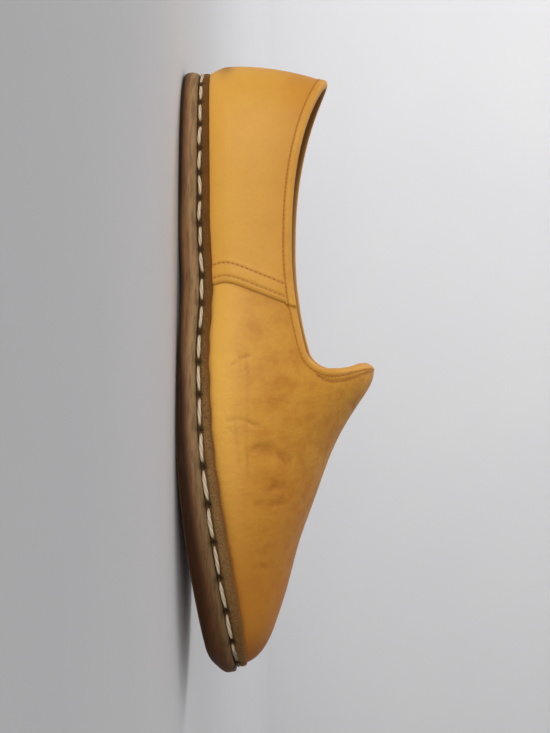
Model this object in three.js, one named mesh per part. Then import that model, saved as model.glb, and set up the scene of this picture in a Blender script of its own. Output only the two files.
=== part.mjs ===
// Slip-on loafer for the right foot, in millimetres: toe along +X, up +Z, outer side of the foot at -Y.
// The origin is on the floor under the middle of the shoe.
import * as THREE from "three";

// Driving dimensions
const LENGTH = 282;
const BALL_WIDTH = 98;
const INSTEP_HEIGHT = 87;
const HEEL_HEIGHT = 66.5;

// Thicknesses and clearances
const WALL = 1.8;
const QUARTER_LEATHER = 0.9;
const INSOLE_THICKNESS = 4;
const GAP = 0.3;

// Floor line of the sole: arch between heel and ball, and toe spring in front of the ball
const ARCH_LIFT = 1.6;
const ARCH_FROM = -0.255 * LENGTH;
const ARCH_TO = -0.01 * LENGTH;
const SPRING_HEIGHT = 13;
const SPRING_FROM = 0.085 * LENGTH;
const SPRING_POWER = 1.5;

// Collar line: height at the back, lowest point of the side, rise towards the throat
const DIP_X = -0.2 * LENGTH;
const DIP_HEIGHT = 0.766 * HEEL_HEIGHT;
const BACK_POWER = 2.4;
const FRONT_X = -0.035 * LENGTH;
const FRONT_RISE = 6.5;
const CORNER_RADIUS = 9;

// Throat edge across the instep. Its set-back is complete at this share of the way from corner to ridge.
const THROAT_X = 0;
const THROAT_SETBACK = 3;
const THROAT_TOP = 0.62;

// Turned rim along collar and throat: its leg on the outside, and its cap over the wall
const RIM_LEG = 4;
const RIM_OUT = 1.5;
const RIM_CAP = 1.3;
const RIM_ROUND = 0.5;

// Ribs fan out round the heel and the toe: how far their tops lie inside their feet.
const HEEL_FAN = 46;
const TOE_FAN = 19;

// Steps of the grids
const QUARTER_STEPS = 16;
const SIDE_STEPS = 7;
const FRONT_STEPS = 24;
const WALL_ROWS = 8;
const ARCH_ROWS = 8;
const RING_STEPS = 44;
const SLOPE_STEP = 1e-4;
const EDGE_PRECISION = 1e-9;

// Foot line of the upper from heel to toe. at: share of the length. lateral, medial: half widths as shares
// of the ball width. sole, welt: their heights. edge: how far the outsole stands out.
const FOOT = [
  { at: 0.017, lateral: 0, medial: 0, sole: 7.5, welt: 4.9, edge: 2.2 },
  { at: 0.075, lateral: 0.222, medial: 0.222, sole: 8, welt: 5.1, edge: 2.7 },
  { at: 0.18, lateral: 0.296, medial: 0.29, sole: 8.3, welt: 5.6, edge: 3.4 },
  { at: 0.305, lateral: 0.322, medial: 0.265, sole: 8.3, welt: 5.8, edge: 3.8 },
  { at: 0.43, lateral: 0.372, medial: 0.285, sole: 8.4, welt: 5.7, edge: 4.2 },
  { at: 0.555, lateral: 0.428, medial: 0.394, sole: 9.4, welt: 6.1, edge: 4.7 },
  { at: 0.66, lateral: 0.436, medial: 0.441, sole: 10.6, welt: 6.8, edge: 5 },
  { at: 0.765, lateral: 0.383, medial: 0.408, sole: 11.5, welt: 7.4, edge: 5 },
  { at: 0.87, lateral: 0.262, medial: 0.316, sole: 12.1, welt: 7.3, edge: 5 },
  { at: 0.945, lateral: 0.128, medial: 0.21, sole: 12.1, welt: 6.1, edge: 4.8 },
  { at: 0.983, lateral: -0.041, medial: 0.041, sole: 11.6, welt: 4.6, edge: 4.6 },
];

// Ribs of the upper from heel to toe. at: share of the length of their feet. roll: how far the leather
// rolls out over its foot. lean: degrees inwards at the foot. low, high: fullness at the foot and the top.
const RIBS = [
  { at: 0.017, roll: 2.5, lean: -10, low: 0.4, high: 0.645 },
  { at: 0.075, roll: 2.7, lean: -9, low: 0.4, high: 0.6 },
  { at: 0.18, roll: 2.6, lean: -8, low: 0.4, high: 0.55 },
  { at: 0.305, roll: 2.5, lean: -7, low: 0.42, high: 0.55 },
  { at: 0.43, roll: 2.4, lean: -6, low: 0.44, high: 0.55 },
  { at: 0.555, roll: 2.2, lean: -5, low: 0.46, high: 0.55 },
  { at: 0.66, roll: 1.9, lean: -4, low: 0.48, high: 0.52 },
  { at: 0.765, roll: 1.5, lean: 0, low: 0.5, high: 0.5 },
  { at: 0.87, roll: 1.1, lean: 12, low: 0.5, high: 0.48 },
  { at: 0.945, roll: 0.8, lean: 20, low: 0.52, high: 0.5 },
  { at: 0.983, roll: 0.6, lean: 26, low: 0.54, high: 0.5 },
];

// Height over which the leather rolls out above its foot
const ROLL_HEIGHT = 9;

// Ridge line over the instep, and its unseen rise above the collar that gives the sides their lean.
// at: share of the length. height: share of the instep height. side: offset towards the inner side.
const RIDGE = [
  { at: 0.16, height: 1.25, side: 0.0 },
  { at: 0.32, height: 1.135, side: 0.0 },
  { at: 0.43, height: 1.055, side: 0.5 },
  { at: 0.49, height: 1.015, side: 1.0 },
  { at: 0.515, height: 1.002, side: 1.2 },
  { at: 0.55, height: 0.9375, side: 1.5 },
  { at: 0.59, height: 0.8555, side: 1.9 },
  { at: 0.63, height: 0.79, side: 2.3 },
  { at: 0.702, height: 0.704, side: 3.0 },
  { at: 0.784, height: 0.61, side: 3.6 },
  { at: 0.855, height: 0.549, side: 4.0 },
  { at: 0.918, height: 0.484, side: 4.0 },
];

// The quarter starts this share of a rib above the welt. A short piece of a rib measures its length.
const QUARTER_FOOT = 0.006;
const RIB_PROBE = 0.05;

// Front edge of the quarter, from the foot of the upper to the collar. up: share of the wall's height.
const LAP = [
  { up: 0.0, at: 0.3645 },
  { up: 0.15, at: 0.3617 },
  { up: 0.32, at: 0.366 },
  { up: 0.55, at: 0.3765 },
  { up: 0.8, at: 0.3885 },
  { up: 1.0, at: 0.3985 },
];

// The quarter ends under the rim, at this share of the wall's height.
const QUARTER_SHARE = 0.874;

// Side of the outsole. inside: distance in from its edge. up: share of its thickness.
const SOLE_SIDE = [
  { inside: 3.4, up: 0.0 },
  { inside: 1.2, up: 0.09 },
  { inside: 0.25, up: 0.28 },
  { inside: 0.0, up: 0.52 },
  { inside: 0.3, up: 0.78 },
  { inside: 1.1, up: 0.95 },
  { inside: 2.0, up: 1.0 },
];

// The lower edge of the outsole is tucked in further at the toe, from this place on.
const TOE_TUCK = 1.6;
const TUCK_FROM = 0.86;
const TUCK_BELOW = 0.5;

// Section of the welt, with the groove of the sole seam at its foot. out: share of the outsole's edge.
const WELT_SECTION = [
  { out: 0.36, up: 0.0 },
  { out: 0.36, up: 0.34 },
  { out: 0.66, up: 0.4 },
  { out: 0.68, up: 0.74 },
  { out: 0.55, up: 0.91 },
  { out: 0.28, up: 1.0 },
];

// Side of the insole. inside: distance in from its edge. up: share of its thickness.
const INSOLE_SIDE = [
  { inside: 0.0, up: 0.0 },
  { inside: 0.0, up: 0.75 },
  { inside: 1.0, up: 1.0 },
];

// Section of the turned rim. into: distance from the wall's edge into the leather. out: off the wall.
const RIM_SECTION = [
  { into: RIM_LEG, out: GAP },
  { into: RIM_LEG, out: RIM_OUT - RIM_ROUND },
  { into: RIM_LEG - RIM_ROUND, out: RIM_OUT },
  { into: RIM_ROUND, out: RIM_OUT },
  { into: RIM_ROUND - RIM_CAP, out: RIM_OUT - RIM_ROUND },
  { into: -RIM_CAP, out: 0 },
  { into: -RIM_CAP, out: RIM_ROUND - WALL },
  { into: RIM_ROUND - RIM_CAP, out: -WALL },
  { into: -GAP, out: -WALL },
  { into: -GAP, out: GAP },
];

const LATERAL = -1;
const MEDIAL = 1;

// Natural cubic spline through the points (xs, ys), as a function of x.
function spline(xs, ys) {
  const last = xs.length - 1;
  const bend = new Array(last + 1).fill(0);
  const rest = new Array(last + 1).fill(0);
  for (let i = 1; i < last; i++) {
    const before = xs[i] - xs[i - 1];
    const after = xs[i + 1] - xs[i];
    const share = before / (before + after);
    const pivot = share * bend[i - 1] + 2;
    const turn = (ys[i + 1] - ys[i]) / after - (ys[i] - ys[i - 1]) / before;
    bend[i] = (share - 1) / pivot;
    rest[i] = ((6 * turn) / (before + after) - share * rest[i - 1]) / pivot;
  }
  for (let i = last - 1; i > 0; i--) {
    bend[i] = bend[i] * bend[i + 1] + rest[i];
  }
  bend[0] = 0;
  return (x) => {
    let i = 0;
    while (i < last - 1 && x > xs[i + 1]) {
      i += 1;
    }
    const width = xs[i + 1] - xs[i];
    const b = (x - xs[i]) / width;
    const a = 1 - b;
    const curve = (a * a * a - a) * bend[i] + (b * b * b - b) * bend[i + 1];
    return a * ys[i] + b * ys[i + 1] + (curve * width * width) / 6;
  };
}

// Smooth step from 0 to 1.
function ease(share) {
  const s = Math.min(Math.max(share, 0), 1);
  return s * s * (3 - 2 * s);
}

// A share of the length as a place along X.
function along(at) {
  return (at - 0.5) * LENGTH;
}

// The foot of the upper is walked by t, from 0 at the heel to 1 at the toe, with close steps at both ends.
const HEEL_X = along(FOOT[0].at);
const TOE_X = along(FOOT[FOOT.length - 1].at);

function xOf(t) {
  return HEEL_X + ((TOE_X - HEEL_X) * (1 - Math.cos(Math.PI * t))) / 2;
}

function tOf(x) {
  const share = (2 * (x - HEEL_X)) / (TOE_X - HEEL_X);
  return Math.acos(Math.min(Math.max(1 - share, -1), 1)) / Math.PI;
}

// A column of a table as a function of t. Half widths are splines in t, so that the ends come out round.
function roundColumn(table, name) {
  return spline(table.map((row) => tOf(along(row.at))), table.map((row) => row[name]));
}

// The other columns are splines in x, which run level over the ends.
function evenColumn(table, name) {
  const curve = spline(table.map((row) => along(row.at)), table.map((row) => row[name]));
  return (t) => curve(xOf(t));
}

const lateralShare = roundColumn(FOOT, "lateral");
const medialShare = roundColumn(FOOT, "medial");
const soleThickness = evenColumn(FOOT, "sole");
const weltHeight = evenColumn(FOOT, "welt");
const edgeWidth = evenColumn(FOOT, "edge");
const ribRoll = evenColumn(RIBS, "roll");
const ribLean = evenColumn(RIBS, "lean");
const ribLow = evenColumn(RIBS, "low");
const ribHigh = evenColumn(RIBS, "high");

const ridgePlaces = RIDGE.map((row) => along(row.at));
const ridgeShare = spline(ridgePlaces, RIDGE.map((row) => row.height));
const ridgeSide = spline(ridgePlaces, RIDGE.map((row) => row.side));
const lapPlace = spline(LAP.map((row) => row.up), LAP.map((row) => along(row.at)));

function ridgeHeight(x) {
  return INSTEP_HEIGHT * ridgeShare(x);
}

// Underside of the sole above the floor.
function floorLine(x) {
  const arch = Math.min(Math.max((x - ARCH_FROM) / (ARCH_TO - ARCH_FROM), 0), 1);
  const spring = Math.max((x - SPRING_FROM) / (LENGTH / 2 - SPRING_FROM), 0);
  return ARCH_LIFT * Math.sin(Math.PI * arch) ** 2 + SPRING_HEIGHT * spring ** SPRING_POWER;
}

function soleTop(t) {
  return floorLine(xOf(t)) + soleThickness(t);
}

function weltTop(t) {
  return soleTop(t) + weltHeight(t);
}

// Foot line of the upper seen from above.
function footLine(t, side) {
  const share = side === LATERAL ? -lateralShare(t) : medialShare(t);
  return new THREE.Vector2(xOf(t), BALL_WIDTH * share);
}

// The foot line moved out by a distance, square to itself.
function footLineMoved(t, side, out) {
  const before = footLine(Math.max(t - SLOPE_STEP, 0), side);
  const after = footLine(Math.min(t + SLOPE_STEP, 1), side);
  const run = after.sub(before);
  if (t === 0 || t === 1) {
    run.set(0, t === 0 ? side : -side);
  }
  const square = new THREE.Vector2(run.y, -run.x).normalize().multiplyScalar(-side * out);
  return footLine(t, side).add(square);
}

// Outer face of the upper: a rib from the foot line (w = 0) to the ridge (w = 1) is a Bezier curve that
// starts at its lean and ends level with the ridge line, and its lowest part rolls out over the foot.
function rib(t, w, side) {
  const foot = footLine(t, side);
  const footZ = weltTop(t);
  const shift = HEEL_FAN * (1 - ease(2 * t)) - TOE_FAN * ease(2 * t - 1);
  const ridgeX = foot.x + shift;
  const ridgeZ = ridgeHeight(ridgeX);
  const inward = new THREE.Vector2(ridgeX - foot.x, ridgeSide(ridgeX) - foot.y);
  const reach = inward.length();
  const rise = ribLow(t) * (ridgeZ - footZ);
  const lean = THREE.MathUtils.degToRad(ribLean(t));
  const slope = (ridgeHeight(ridgeX + 1) - ridgeHeight(ridgeX - 1)) / 2;
  const high = ribHigh(t);
  const weights = [(1 - w) ** 3, 3 * (1 - w) ** 2 * w, 3 * (1 - w) * w ** 2, w ** 3];
  const inside = [0, rise * Math.sin(lean), reach * (1 - high), reach];
  const heights = [footZ, footZ + rise * Math.cos(lean), ridgeZ - slope * high * inward.x, ridgeZ];
  const depth = weights.reduce((sum, weight, k) => sum + weight * inside[k], 0);
  const z = weights.reduce((sum, weight, k) => sum + weight * heights[k], 0);
  const rolled = Math.sin((Math.PI / 2) * Math.min((z - footZ) / ROLL_HEIGHT, 1)) * (1 - ease(w));
  inward.multiplyScalar((depth - ribRoll(t) * rolled) / reach).add(foot);
  return new THREE.Vector3(inward.x, inward.y, z);
}

// Direction off the outer face.
function outwardAt(t, w, side) {
  const run = rib(Math.min(t + SLOPE_STEP, 1), w, side).sub(rib(Math.max(t - SLOPE_STEP, 0), w, side));
  const rise = rib(t, Math.min(w + SLOPE_STEP, 1), side).sub(rib(t, Math.max(w - SLOPE_STEP, 0), side));
  if (t === 0 || t === 1) {
    run.set(0, t === 0 ? side : -side, 0);
  }
  return run.cross(rise).multiplyScalar(-side).normalize();
}

// Outer face of the upper moved off by a distance. Below the foot of the rib (w < 0) the wall is upright.
function skin(t, w, side, out) {
  if (w < 0) {
    const foot = footLineMoved(t, side, out);
    return new THREE.Vector3(foot.x, foot.y, soleTop(t) + GAP);
  }
  const place = rib(t, w, side);
  const off = outwardAt(t, w, side);
  if (w === 1) {
    off.y = 0;
    off.normalize();
  }
  return place.addScaledVector(off, out);
}

// Height of the finished collar edge over a place x of the foot line, with the round corner at the throat.
function collarHeight(x) {
  const back = Math.max((DIP_X - x) / (DIP_X - HEEL_X), 0) ** BACK_POWER;
  const front = (Math.max(x - DIP_X, 0) / (FRONT_X - DIP_X)) ** 2;
  const turn = Math.min(Math.max(x - THROAT_X + CORNER_RADIUS, 0), CORNER_RADIUS);
  const corner = CORNER_RADIUS - Math.sqrt(CORNER_RADIUS ** 2 - turn ** 2);
  return DIP_HEIGHT + (HEEL_HEIGHT - DIP_HEIGHT) * back + FRONT_RISE * front + corner;
}

// The w at which the rib at t reaches the wall's top edge, under the cap of the rim.
function collarW(t, side) {
  const height = collarHeight(xOf(t)) - RIM_CAP;
  let low = 0;
  let high = 1;
  while (high - low > EDGE_PRECISION) {
    const middle = (low + high) / 2;
    if (rib(t, middle, side).z < height) {
      low = middle;
    } else {
      high = middle;
    }
  }
  return high;
}

const THROAT_T = tOf(THROAT_X);
const cornerW = { [LATERAL]: collarW(THROAT_T, LATERAL), [MEDIAL]: collarW(THROAT_T, MEDIAL) };

// The t of the throat edge: straight up the corner, then set back towards the middle of the instep.
function throatT(w, side) {
  const share = Math.max((w - cornerW[side]) / (1 - cornerW[side]), 0);
  return tOf(THROAT_X - THROAT_SETBACK * ease(share / THROAT_TOP));
}

// Grid places (t, w). a runs along the shoe, v from foot to edge, both from 0 to 1. The steps of the
// side close up towards the throat, where the edge turns its corner.
function quarterPlace(a, v, side) {
  const t = a * tOf(lapPlace(v));
  return [t, v * collarW(t, side)];
}

function sidePlace(a, v, side) {
  const lapT = tOf(lapPlace(v));
  const t = lapT + Math.sin((a * Math.PI) / 2) * (THROAT_T - lapT);
  return [t, v * collarW(t, side)];
}

function frontPlace(a, w, side) {
  const start = throatT(w, side);
  return [start + a * (1 - start), w];
}

// A closed body put together from grids of points that share their edges.
class Body {
  constructor() {
    this.corners = [];
  }

  // Two triangles for each cell; at(i, j) gives a point, and turned reverses the faces.
  grid(columns, rows, at, turned) {
    for (let i = 0; i < columns; i++) {
      for (let j = 0; j < rows; j++) {
        const cell = [at(i, j), at(i + 1, j), at(i + 1, j + 1), at(i, j + 1)];
        const order = turned ? [0, 2, 1, 0, 3, 2] : [0, 1, 2, 0, 2, 3];
        order.forEach((k) => this.corners.push(cell[k]));
      }
    }
  }

  mesh(name, color, roughness) {
    const geometry = new THREE.BufferGeometry().setFromPoints(this.corners);
    geometry.computeVertexNormals();
    const material = new THREE.MeshStandardMaterial({ color, roughness, metalness: 0 });
    const made = new THREE.Mesh(geometry, material);
    made.name = name;
    return made;
  }
}

// A ring of points round the shoe: t and side of step i, counted from the heel along the outer side.
function ringStep(i) {
  const k = i % (2 * RING_STEPS);
  return k <= RING_STEPS ? [k / RING_STEPS, LATERAL] : [2 - k / RING_STEPS, MEDIAL];
}

// A board with a shaped side: rows of (inside, up) round its edge, and its two flat faces.
function board(rows, point) {
  const body = new Body();
  const last = rows.length - 1;
  body.grid(2 * RING_STEPS, last, (i, j) => point(...ringStep(i), rows[j]), false);
  for (const [row, turned] of [[0, true], [last, false]]) {
    const face = (i, j) => point(i / RING_STEPS, j === 0 ? LATERAL : MEDIAL, rows[row]);
    body.grid(RING_STEPS, 1, face, turned);
  }
  return body;
}

function outsole() {
  const point = (t, side, row) => {
    const tuck = row.up < TUCK_BELOW ? TOE_TUCK * ease((t - TUCK_FROM) / (1 - TUCK_FROM)) : 0;
    const place = footLineMoved(t, side, edgeWidth(t) - row.inside * (1 + tuck));
    const z = THREE.MathUtils.lerp(floorLine(place.x), soleTop(t), row.up);
    return new THREE.Vector3(place.x, place.y, z);
  };
  return board(SOLE_SIDE, point).mesh("outsole", "#6f4a30", 0.75);
}

function insole() {
  const point = (t, side, row) => {
    const place = footLineMoved(t, side, -WALL - GAP - row.inside);
    return new THREE.Vector3(place.x, place.y, soleTop(t) + GAP + row.up * INSOLE_THICKNESS);
  };
  return board(INSOLE_SIDE, point).mesh("insole", "#b98d5a", 0.7);
}

function welt() {
  const body = new Body();
  const inner = [{ out: 0, up: 1 }, { out: 0, up: 0 }];
  const rows = [...WELT_SECTION, ...inner];
  const point = (i, j) => {
    const [t, side] = ringStep(i);
    const row = rows[j % rows.length];
    const place = footLineMoved(t, side, Math.max(row.out * edgeWidth(t), GAP));
    const z = THREE.MathUtils.lerp(soleTop(t) + GAP, weltTop(t), row.up);
    return new THREE.Vector3(place.x, place.y, z);
  };
  body.grid(2 * RING_STEPS, rows.length, point, false);
  return body.mesh("welt", "#6d4d2f", 0.95);
}

// Rows of the wall: the upright foot behind the welt, the side up to the corner, then over the instep.
function wallRow(j) {
  return j === 0 ? -1 : (j - 1) / WALL_ROWS;
}

function archRow(j, side) {
  const corner = cornerW[side];
  if (j <= WALL_ROWS + 1) {
    return wallRow(j) * corner;
  }
  return corner + ((1 - corner) * (j - WALL_ROWS - 1)) / ARCH_ROWS;
}

// One hollow wall, open along collar and throat and open underneath.
function upper() {
  const body = new Body();
  const place = (grid, a, v, side, out) => {
    const [t, w] = grid(a, Math.max(v, 0), side);
    return skin(t, v < 0 ? -1 : w, side, out);
  };
  for (const side of [LATERAL, MEDIAL]) {
    const mirrored = side === MEDIAL;
    const back = (i, j, out) => place(quarterPlace, i / QUARTER_STEPS, wallRow(j), side, out);
    const middle = (i, j, out) => place(sidePlace, i / SIDE_STEPS, wallRow(j), side, out);
    const front = (i, j, out) => place(frontPlace, i / FRONT_STEPS, archRow(j, side), side, out);
    for (const [out, turned] of [[0, mirrored], [-WALL, !mirrored]]) {
      body.grid(QUARTER_STEPS, WALL_ROWS + 1, (i, j) => back(i, j, out), turned);
      body.grid(SIDE_STEPS, WALL_ROWS + 1, (i, j) => middle(i, j, out), turned);
      body.grid(FRONT_STEPS, WALL_ROWS + ARCH_ROWS + 1, (i, j) => front(i, j, out), turned);
    }
    const top = WALL_ROWS + 1;
    const across = (i, j, point, row) => point(i, row, j === 0 ? 0 : -WALL);
    for (const [steps, point] of [[QUARTER_STEPS, back], [SIDE_STEPS, middle], [FRONT_STEPS, front]]) {
      body.grid(steps, 1, (i, j) => across(i, j, point, 0), !mirrored);
    }
    for (const [steps, point] of [[QUARTER_STEPS, back], [SIDE_STEPS, middle]]) {
      body.grid(steps, 1, (i, j) => across(i, j, point, top), mirrored);
    }
    body.grid(ARCH_ROWS, 1, (i, j) => front(0, top + i, j === 0 ? 0 : -WALL), mirrored);
  }
  return body.mesh("upper", "#c8893a", 0.5);
}

// The w on a rib that lies a distance below the place w.
function below(t, w, side, distance) {
  const step = rib(t, w, side).distanceTo(rib(t, w - RIB_PROBE, side));
  return w - (RIB_PROBE * distance) / step;
}

// The quarter: a second leather round the heel, from lap edge to lap edge, between welt and rim.
function quarter() {
  const body = new Body();
  const near = GAP;
  const far = GAP + QUARTER_LEATHER;
  const point = (i, j, out) => {
    const side = i < 0 ? LATERAL : MEDIAL;
    const v = j / WALL_ROWS;
    const t = (Math.abs(i) / QUARTER_STEPS) * tOf(lapPlace(v * QUARTER_SHARE));
    const top = below(t, collarW(t, side), side, RIM_LEG + GAP);
    return skin(t, THREE.MathUtils.lerp(QUARTER_FOOT, top, v), side, out);
  };
  const columns = 2 * QUARTER_STEPS;
  const at = (i, j, out) => point(QUARTER_STEPS - i, j, out);
  const across = (j) => (j === 0 ? far : near);
  body.grid(columns, WALL_ROWS, (i, j) => at(i, j, far), false);
  body.grid(columns, WALL_ROWS, (i, j) => at(i, j, near), true);
  body.grid(columns, 1, (i, j) => at(i, 0, across(j)), true);
  body.grid(columns, 1, (i, j) => at(i, WALL_ROWS, across(j)), false);
  body.grid(1, WALL_ROWS, (i, j) => at(0, j, across(i)), true);
  body.grid(1, WALL_ROWS, (i, j) => at(columns, j, across(i)), false);
  return body.mesh("quarter", "#cf9040", 0.5);
}

// Places (t, w, side) along the wall's top edge: heel, outer side, over the throat, inner side.
function edgePlaces() {
  const half = (side) => {
    const places = [];
    for (let i = 0; i < QUARTER_STEPS; i++) {
      places.push([...quarterPlace(i / QUARTER_STEPS, 1, side), side]);
    }
    for (let i = 0; i < SIDE_STEPS; i++) {
      places.push([...sidePlace(i / SIDE_STEPS, 1, side), side]);
    }
    for (let j = 0; j <= ARCH_ROWS; j++) {
      places.push([...frontPlace(0, archRow(WALL_ROWS + 1 + j, side), side), side]);
    }
    return places;
  };
  return [...half(LATERAL), ...half(MEDIAL).reverse().slice(1, -1)];
}

function collarRim() {
  const body = new Body();
  const places = edgePlaces();
  const count = places.length;
  const edge = places.map(([t, w, side]) => skin(t, w, side, 0));
  const frames = places.map(([t, w, side], i) => {
    const run = edge[(i + 1) % count].clone().sub(edge[(i + count - 1) % count]).normalize();
    const off = outwardAt(t, w, side);
    return { off, into: run.cross(off).normalize() };
  });
  const point = (i, j) => {
    const { off, into } = frames[i % count];
    const row = RIM_SECTION[j % RIM_SECTION.length];
    return edge[i % count].clone().addScaledVector(into, row.into).addScaledVector(off, row.out);
  };
  body.grid(count, RIM_SECTION.length, point, false);
  return body.mesh("collar_rim", "#d09445", 0.45);
}

const loafer = new THREE.Group();
loafer.add(outsole(), welt(), insole(), upper(), quarter(), collarRim());

export default loafer;
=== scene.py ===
"""Looks of a slip-on leather loafer for the right foot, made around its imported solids.

Toe along +X, up +Z, outer side of the foot at -Y. Shapes are worked out in millimetres on whole
arrays, from the same tables as the solids, and go into the meshes in metres.
"""
import math
from collections import namedtuple

import bpy
import numpy as np
from mathutils import Matrix


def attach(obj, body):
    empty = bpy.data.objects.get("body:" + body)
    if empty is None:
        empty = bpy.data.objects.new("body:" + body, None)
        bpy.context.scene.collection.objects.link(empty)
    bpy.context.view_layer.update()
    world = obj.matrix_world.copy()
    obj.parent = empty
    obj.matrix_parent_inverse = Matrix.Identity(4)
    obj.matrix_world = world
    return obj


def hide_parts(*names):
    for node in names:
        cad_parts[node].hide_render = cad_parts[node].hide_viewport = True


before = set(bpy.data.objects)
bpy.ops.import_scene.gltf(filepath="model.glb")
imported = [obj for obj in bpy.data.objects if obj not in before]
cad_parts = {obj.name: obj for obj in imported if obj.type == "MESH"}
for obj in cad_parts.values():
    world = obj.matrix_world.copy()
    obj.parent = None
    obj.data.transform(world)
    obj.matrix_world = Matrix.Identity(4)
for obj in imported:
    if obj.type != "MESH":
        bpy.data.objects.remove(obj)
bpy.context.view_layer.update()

MM = 0.001
LATERAL = -1.0
MEDIAL = 1.0
SIDES = (LATERAL, MEDIAL)

# Driving dimensions, thicknesses and clearances
LENGTH = 282.0
BALL_WIDTH = 98.0
INSTEP_HEIGHT = 87.0
HEEL_HEIGHT = 66.5
WALL = 1.8
LINING = 0.8
QUARTER_LEATHER = 0.9
INSOLE_THICKNESS = 4.0
GAP = 0.3

# Floor line of the sole
ARCH_LIFT = 1.6
ARCH_FROM = -0.255 * LENGTH
ARCH_TO = -0.01 * LENGTH
SPRING_HEIGHT = 13.0
SPRING_FROM = 0.085 * LENGTH
SPRING_POWER = 1.5

# Collar line and throat edge. THROAT_ROLL: how soon past the corner the leather rolls in fully.
# THROAT_OVERRUN: limit of the roll's curve behind the edge.
DIP_X = -0.2 * LENGTH
DIP_HEIGHT = 0.766 * HEEL_HEIGHT
BACK_POWER = 2.4
FRONT_X = -0.035 * LENGTH
FRONT_RISE = 6.5
CORNER_RADIUS = 9.0
THROAT_X = 0.0
THROAT_SETBACK = 3.0
THROAT_TOP = 0.62
THROAT_DROP = 3.4
THROAT_REACH = 5.5
THROAT_POWER = 4
THROAT_ROLL = 1.4
THROAT_OVERRUN = 1.1
RIM_CAP = 1.3

# Ribs of the upper
HEEL_FAN = 46.0
TOE_FAN = 19.0
ROLL_HEIGHT = 9.0
QUARTER_FOOT = 0.006
SLOPE_STEP = 1e-4
HALVINGS = 34

# Foot line from heel to toe. at: share of the length. lateral, medial: half widths as shares of the
# ball width. sole, welt: their heights. edge: how far the outsole stands out.
FOOT = {
    "at": (0.017, 0.075, 0.18, 0.305, 0.43, 0.555, 0.66, 0.765, 0.87, 0.945, 0.983),
    "lateral": (0, 0.222, 0.296, 0.322, 0.372, 0.428, 0.436, 0.383, 0.262, 0.128, -0.041),
    "medial": (0, 0.222, 0.29, 0.265, 0.285, 0.394, 0.441, 0.408, 0.316, 0.21, 0.041),
    "sole": (7.5, 8, 8.3, 8.3, 8.4, 9.4, 10.6, 11.5, 12.1, 12.1, 11.6),
    "welt": (4.9, 5.1, 5.6, 5.8, 5.7, 6.1, 6.8, 7.4, 7.3, 6.1, 4.6),
    "edge": (2.2, 2.7, 3.4, 3.8, 4.2, 4.7, 5, 5, 5, 4.8, 4.6),
}

# Ribs from heel to toe. roll: how far the leather rolls out over its foot. lean: degrees inwards at
# the foot. low, high: fullness at the foot and the top.
RIBS = {
    "at": FOOT["at"],
    "roll": (2.5, 2.7, 2.6, 2.5, 2.4, 2.2, 1.9, 1.5, 1.1, 0.8, 0.6),
    "lean": (-10, -9, -8, -7, -6, -5, -4, 0, 12, 20, 26),
    "low": (0.4, 0.4, 0.4, 0.42, 0.44, 0.46, 0.48, 0.5, 0.5, 0.52, 0.54),
    "high": (0.645, 0.6, 0.55, 0.55, 0.55, 0.55, 0.52, 0.5, 0.48, 0.5, 0.5),
}

# Ridge line over the instep. height: share of the instep height. side: offset to the inner side.
RIDGE = {
    "at": (0.16, 0.32, 0.43, 0.49, 0.515, 0.55, 0.59, 0.63, 0.702, 0.784, 0.855, 0.918),
    "height": (1.25, 1.135, 1.055, 1.015, 1.002, 0.9375, 0.8555, 0.79, 0.704, 0.61, 0.549, 0.484),
    "side": (0, 0, 0.5, 1.0, 1.2, 1.5, 1.9, 2.3, 3.0, 3.6, 4.0, 4.0),
}

# Front edge of the quarter. up: share of the wall's height.
LAP = {"up": (0.0, 0.15, 0.32, 0.55, 0.8, 1.0), "at": (0.3645, 0.3617, 0.366, 0.3765, 0.3885, 0.3985)}

# Side of the outsole and of the insole. inside: distance in from the edge. up: share of the thickness.
SOLE_SIDE = {"inside": (3.4, 1.2, 0.25, 0.0, 0.3, 1.1, 2.0), "up": (0.0, 0.09, 0.28, 0.52, 0.78, 0.95, 1.0)}
INSOLE_SIDE = {"inside": (0.0, 0.0, 0.25, 1.0, 2.2), "up": (0.0, 0.6, 0.86, 1.0, 1.0)}

# Section of the welt. out: share of the outsole's edge. up: share of its height.
WELT_SECTION = {
    "out": (0.46, 0.48, 0.49, 0.52, 0.61, 0.66, 0.69, 0.68, 0.63, 0.54, 0.40, 0.26, 0.1, 0.1),
    "up": (0.0, 0.16, 0.30, 0.35, 0.37, 0.41, 0.52, 0.66, 0.79, 0.90, 0.97, 1.0, 0.96, 0.0),
}

# Section of the turned rim. into: distance from the wall's edge into the leather. out: off the leather
# below it, which is the quarter or the vamp. Past the cap the section goes down the inside of the wall.
RIM_OUTSIDE = {
    "into": (4.9, 4.4, 4.0, 3.7, 3.4, 2.9, 2.1, 1.2, 0.4, -0.3),
    "out": (-0.06, 0.02, 0.05, 0.0, 0.11, 0.32, 0.50, 0.56, 0.46, 0.18),
}
RIM_INSIDE = {
    "into": (-0.85, -1.2, -1.3, -1.15, -0.7, 0.2, 1.4, 2.0),
    "out": (-0.15, -0.55, -1.05, -1.6, -1.95, -2.05, -2.0, -1.9),
    "lined": (0.0, 0.0, 0.0, 0.15, 0.6, 1.0, 1.0, 1.0),
}


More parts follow.
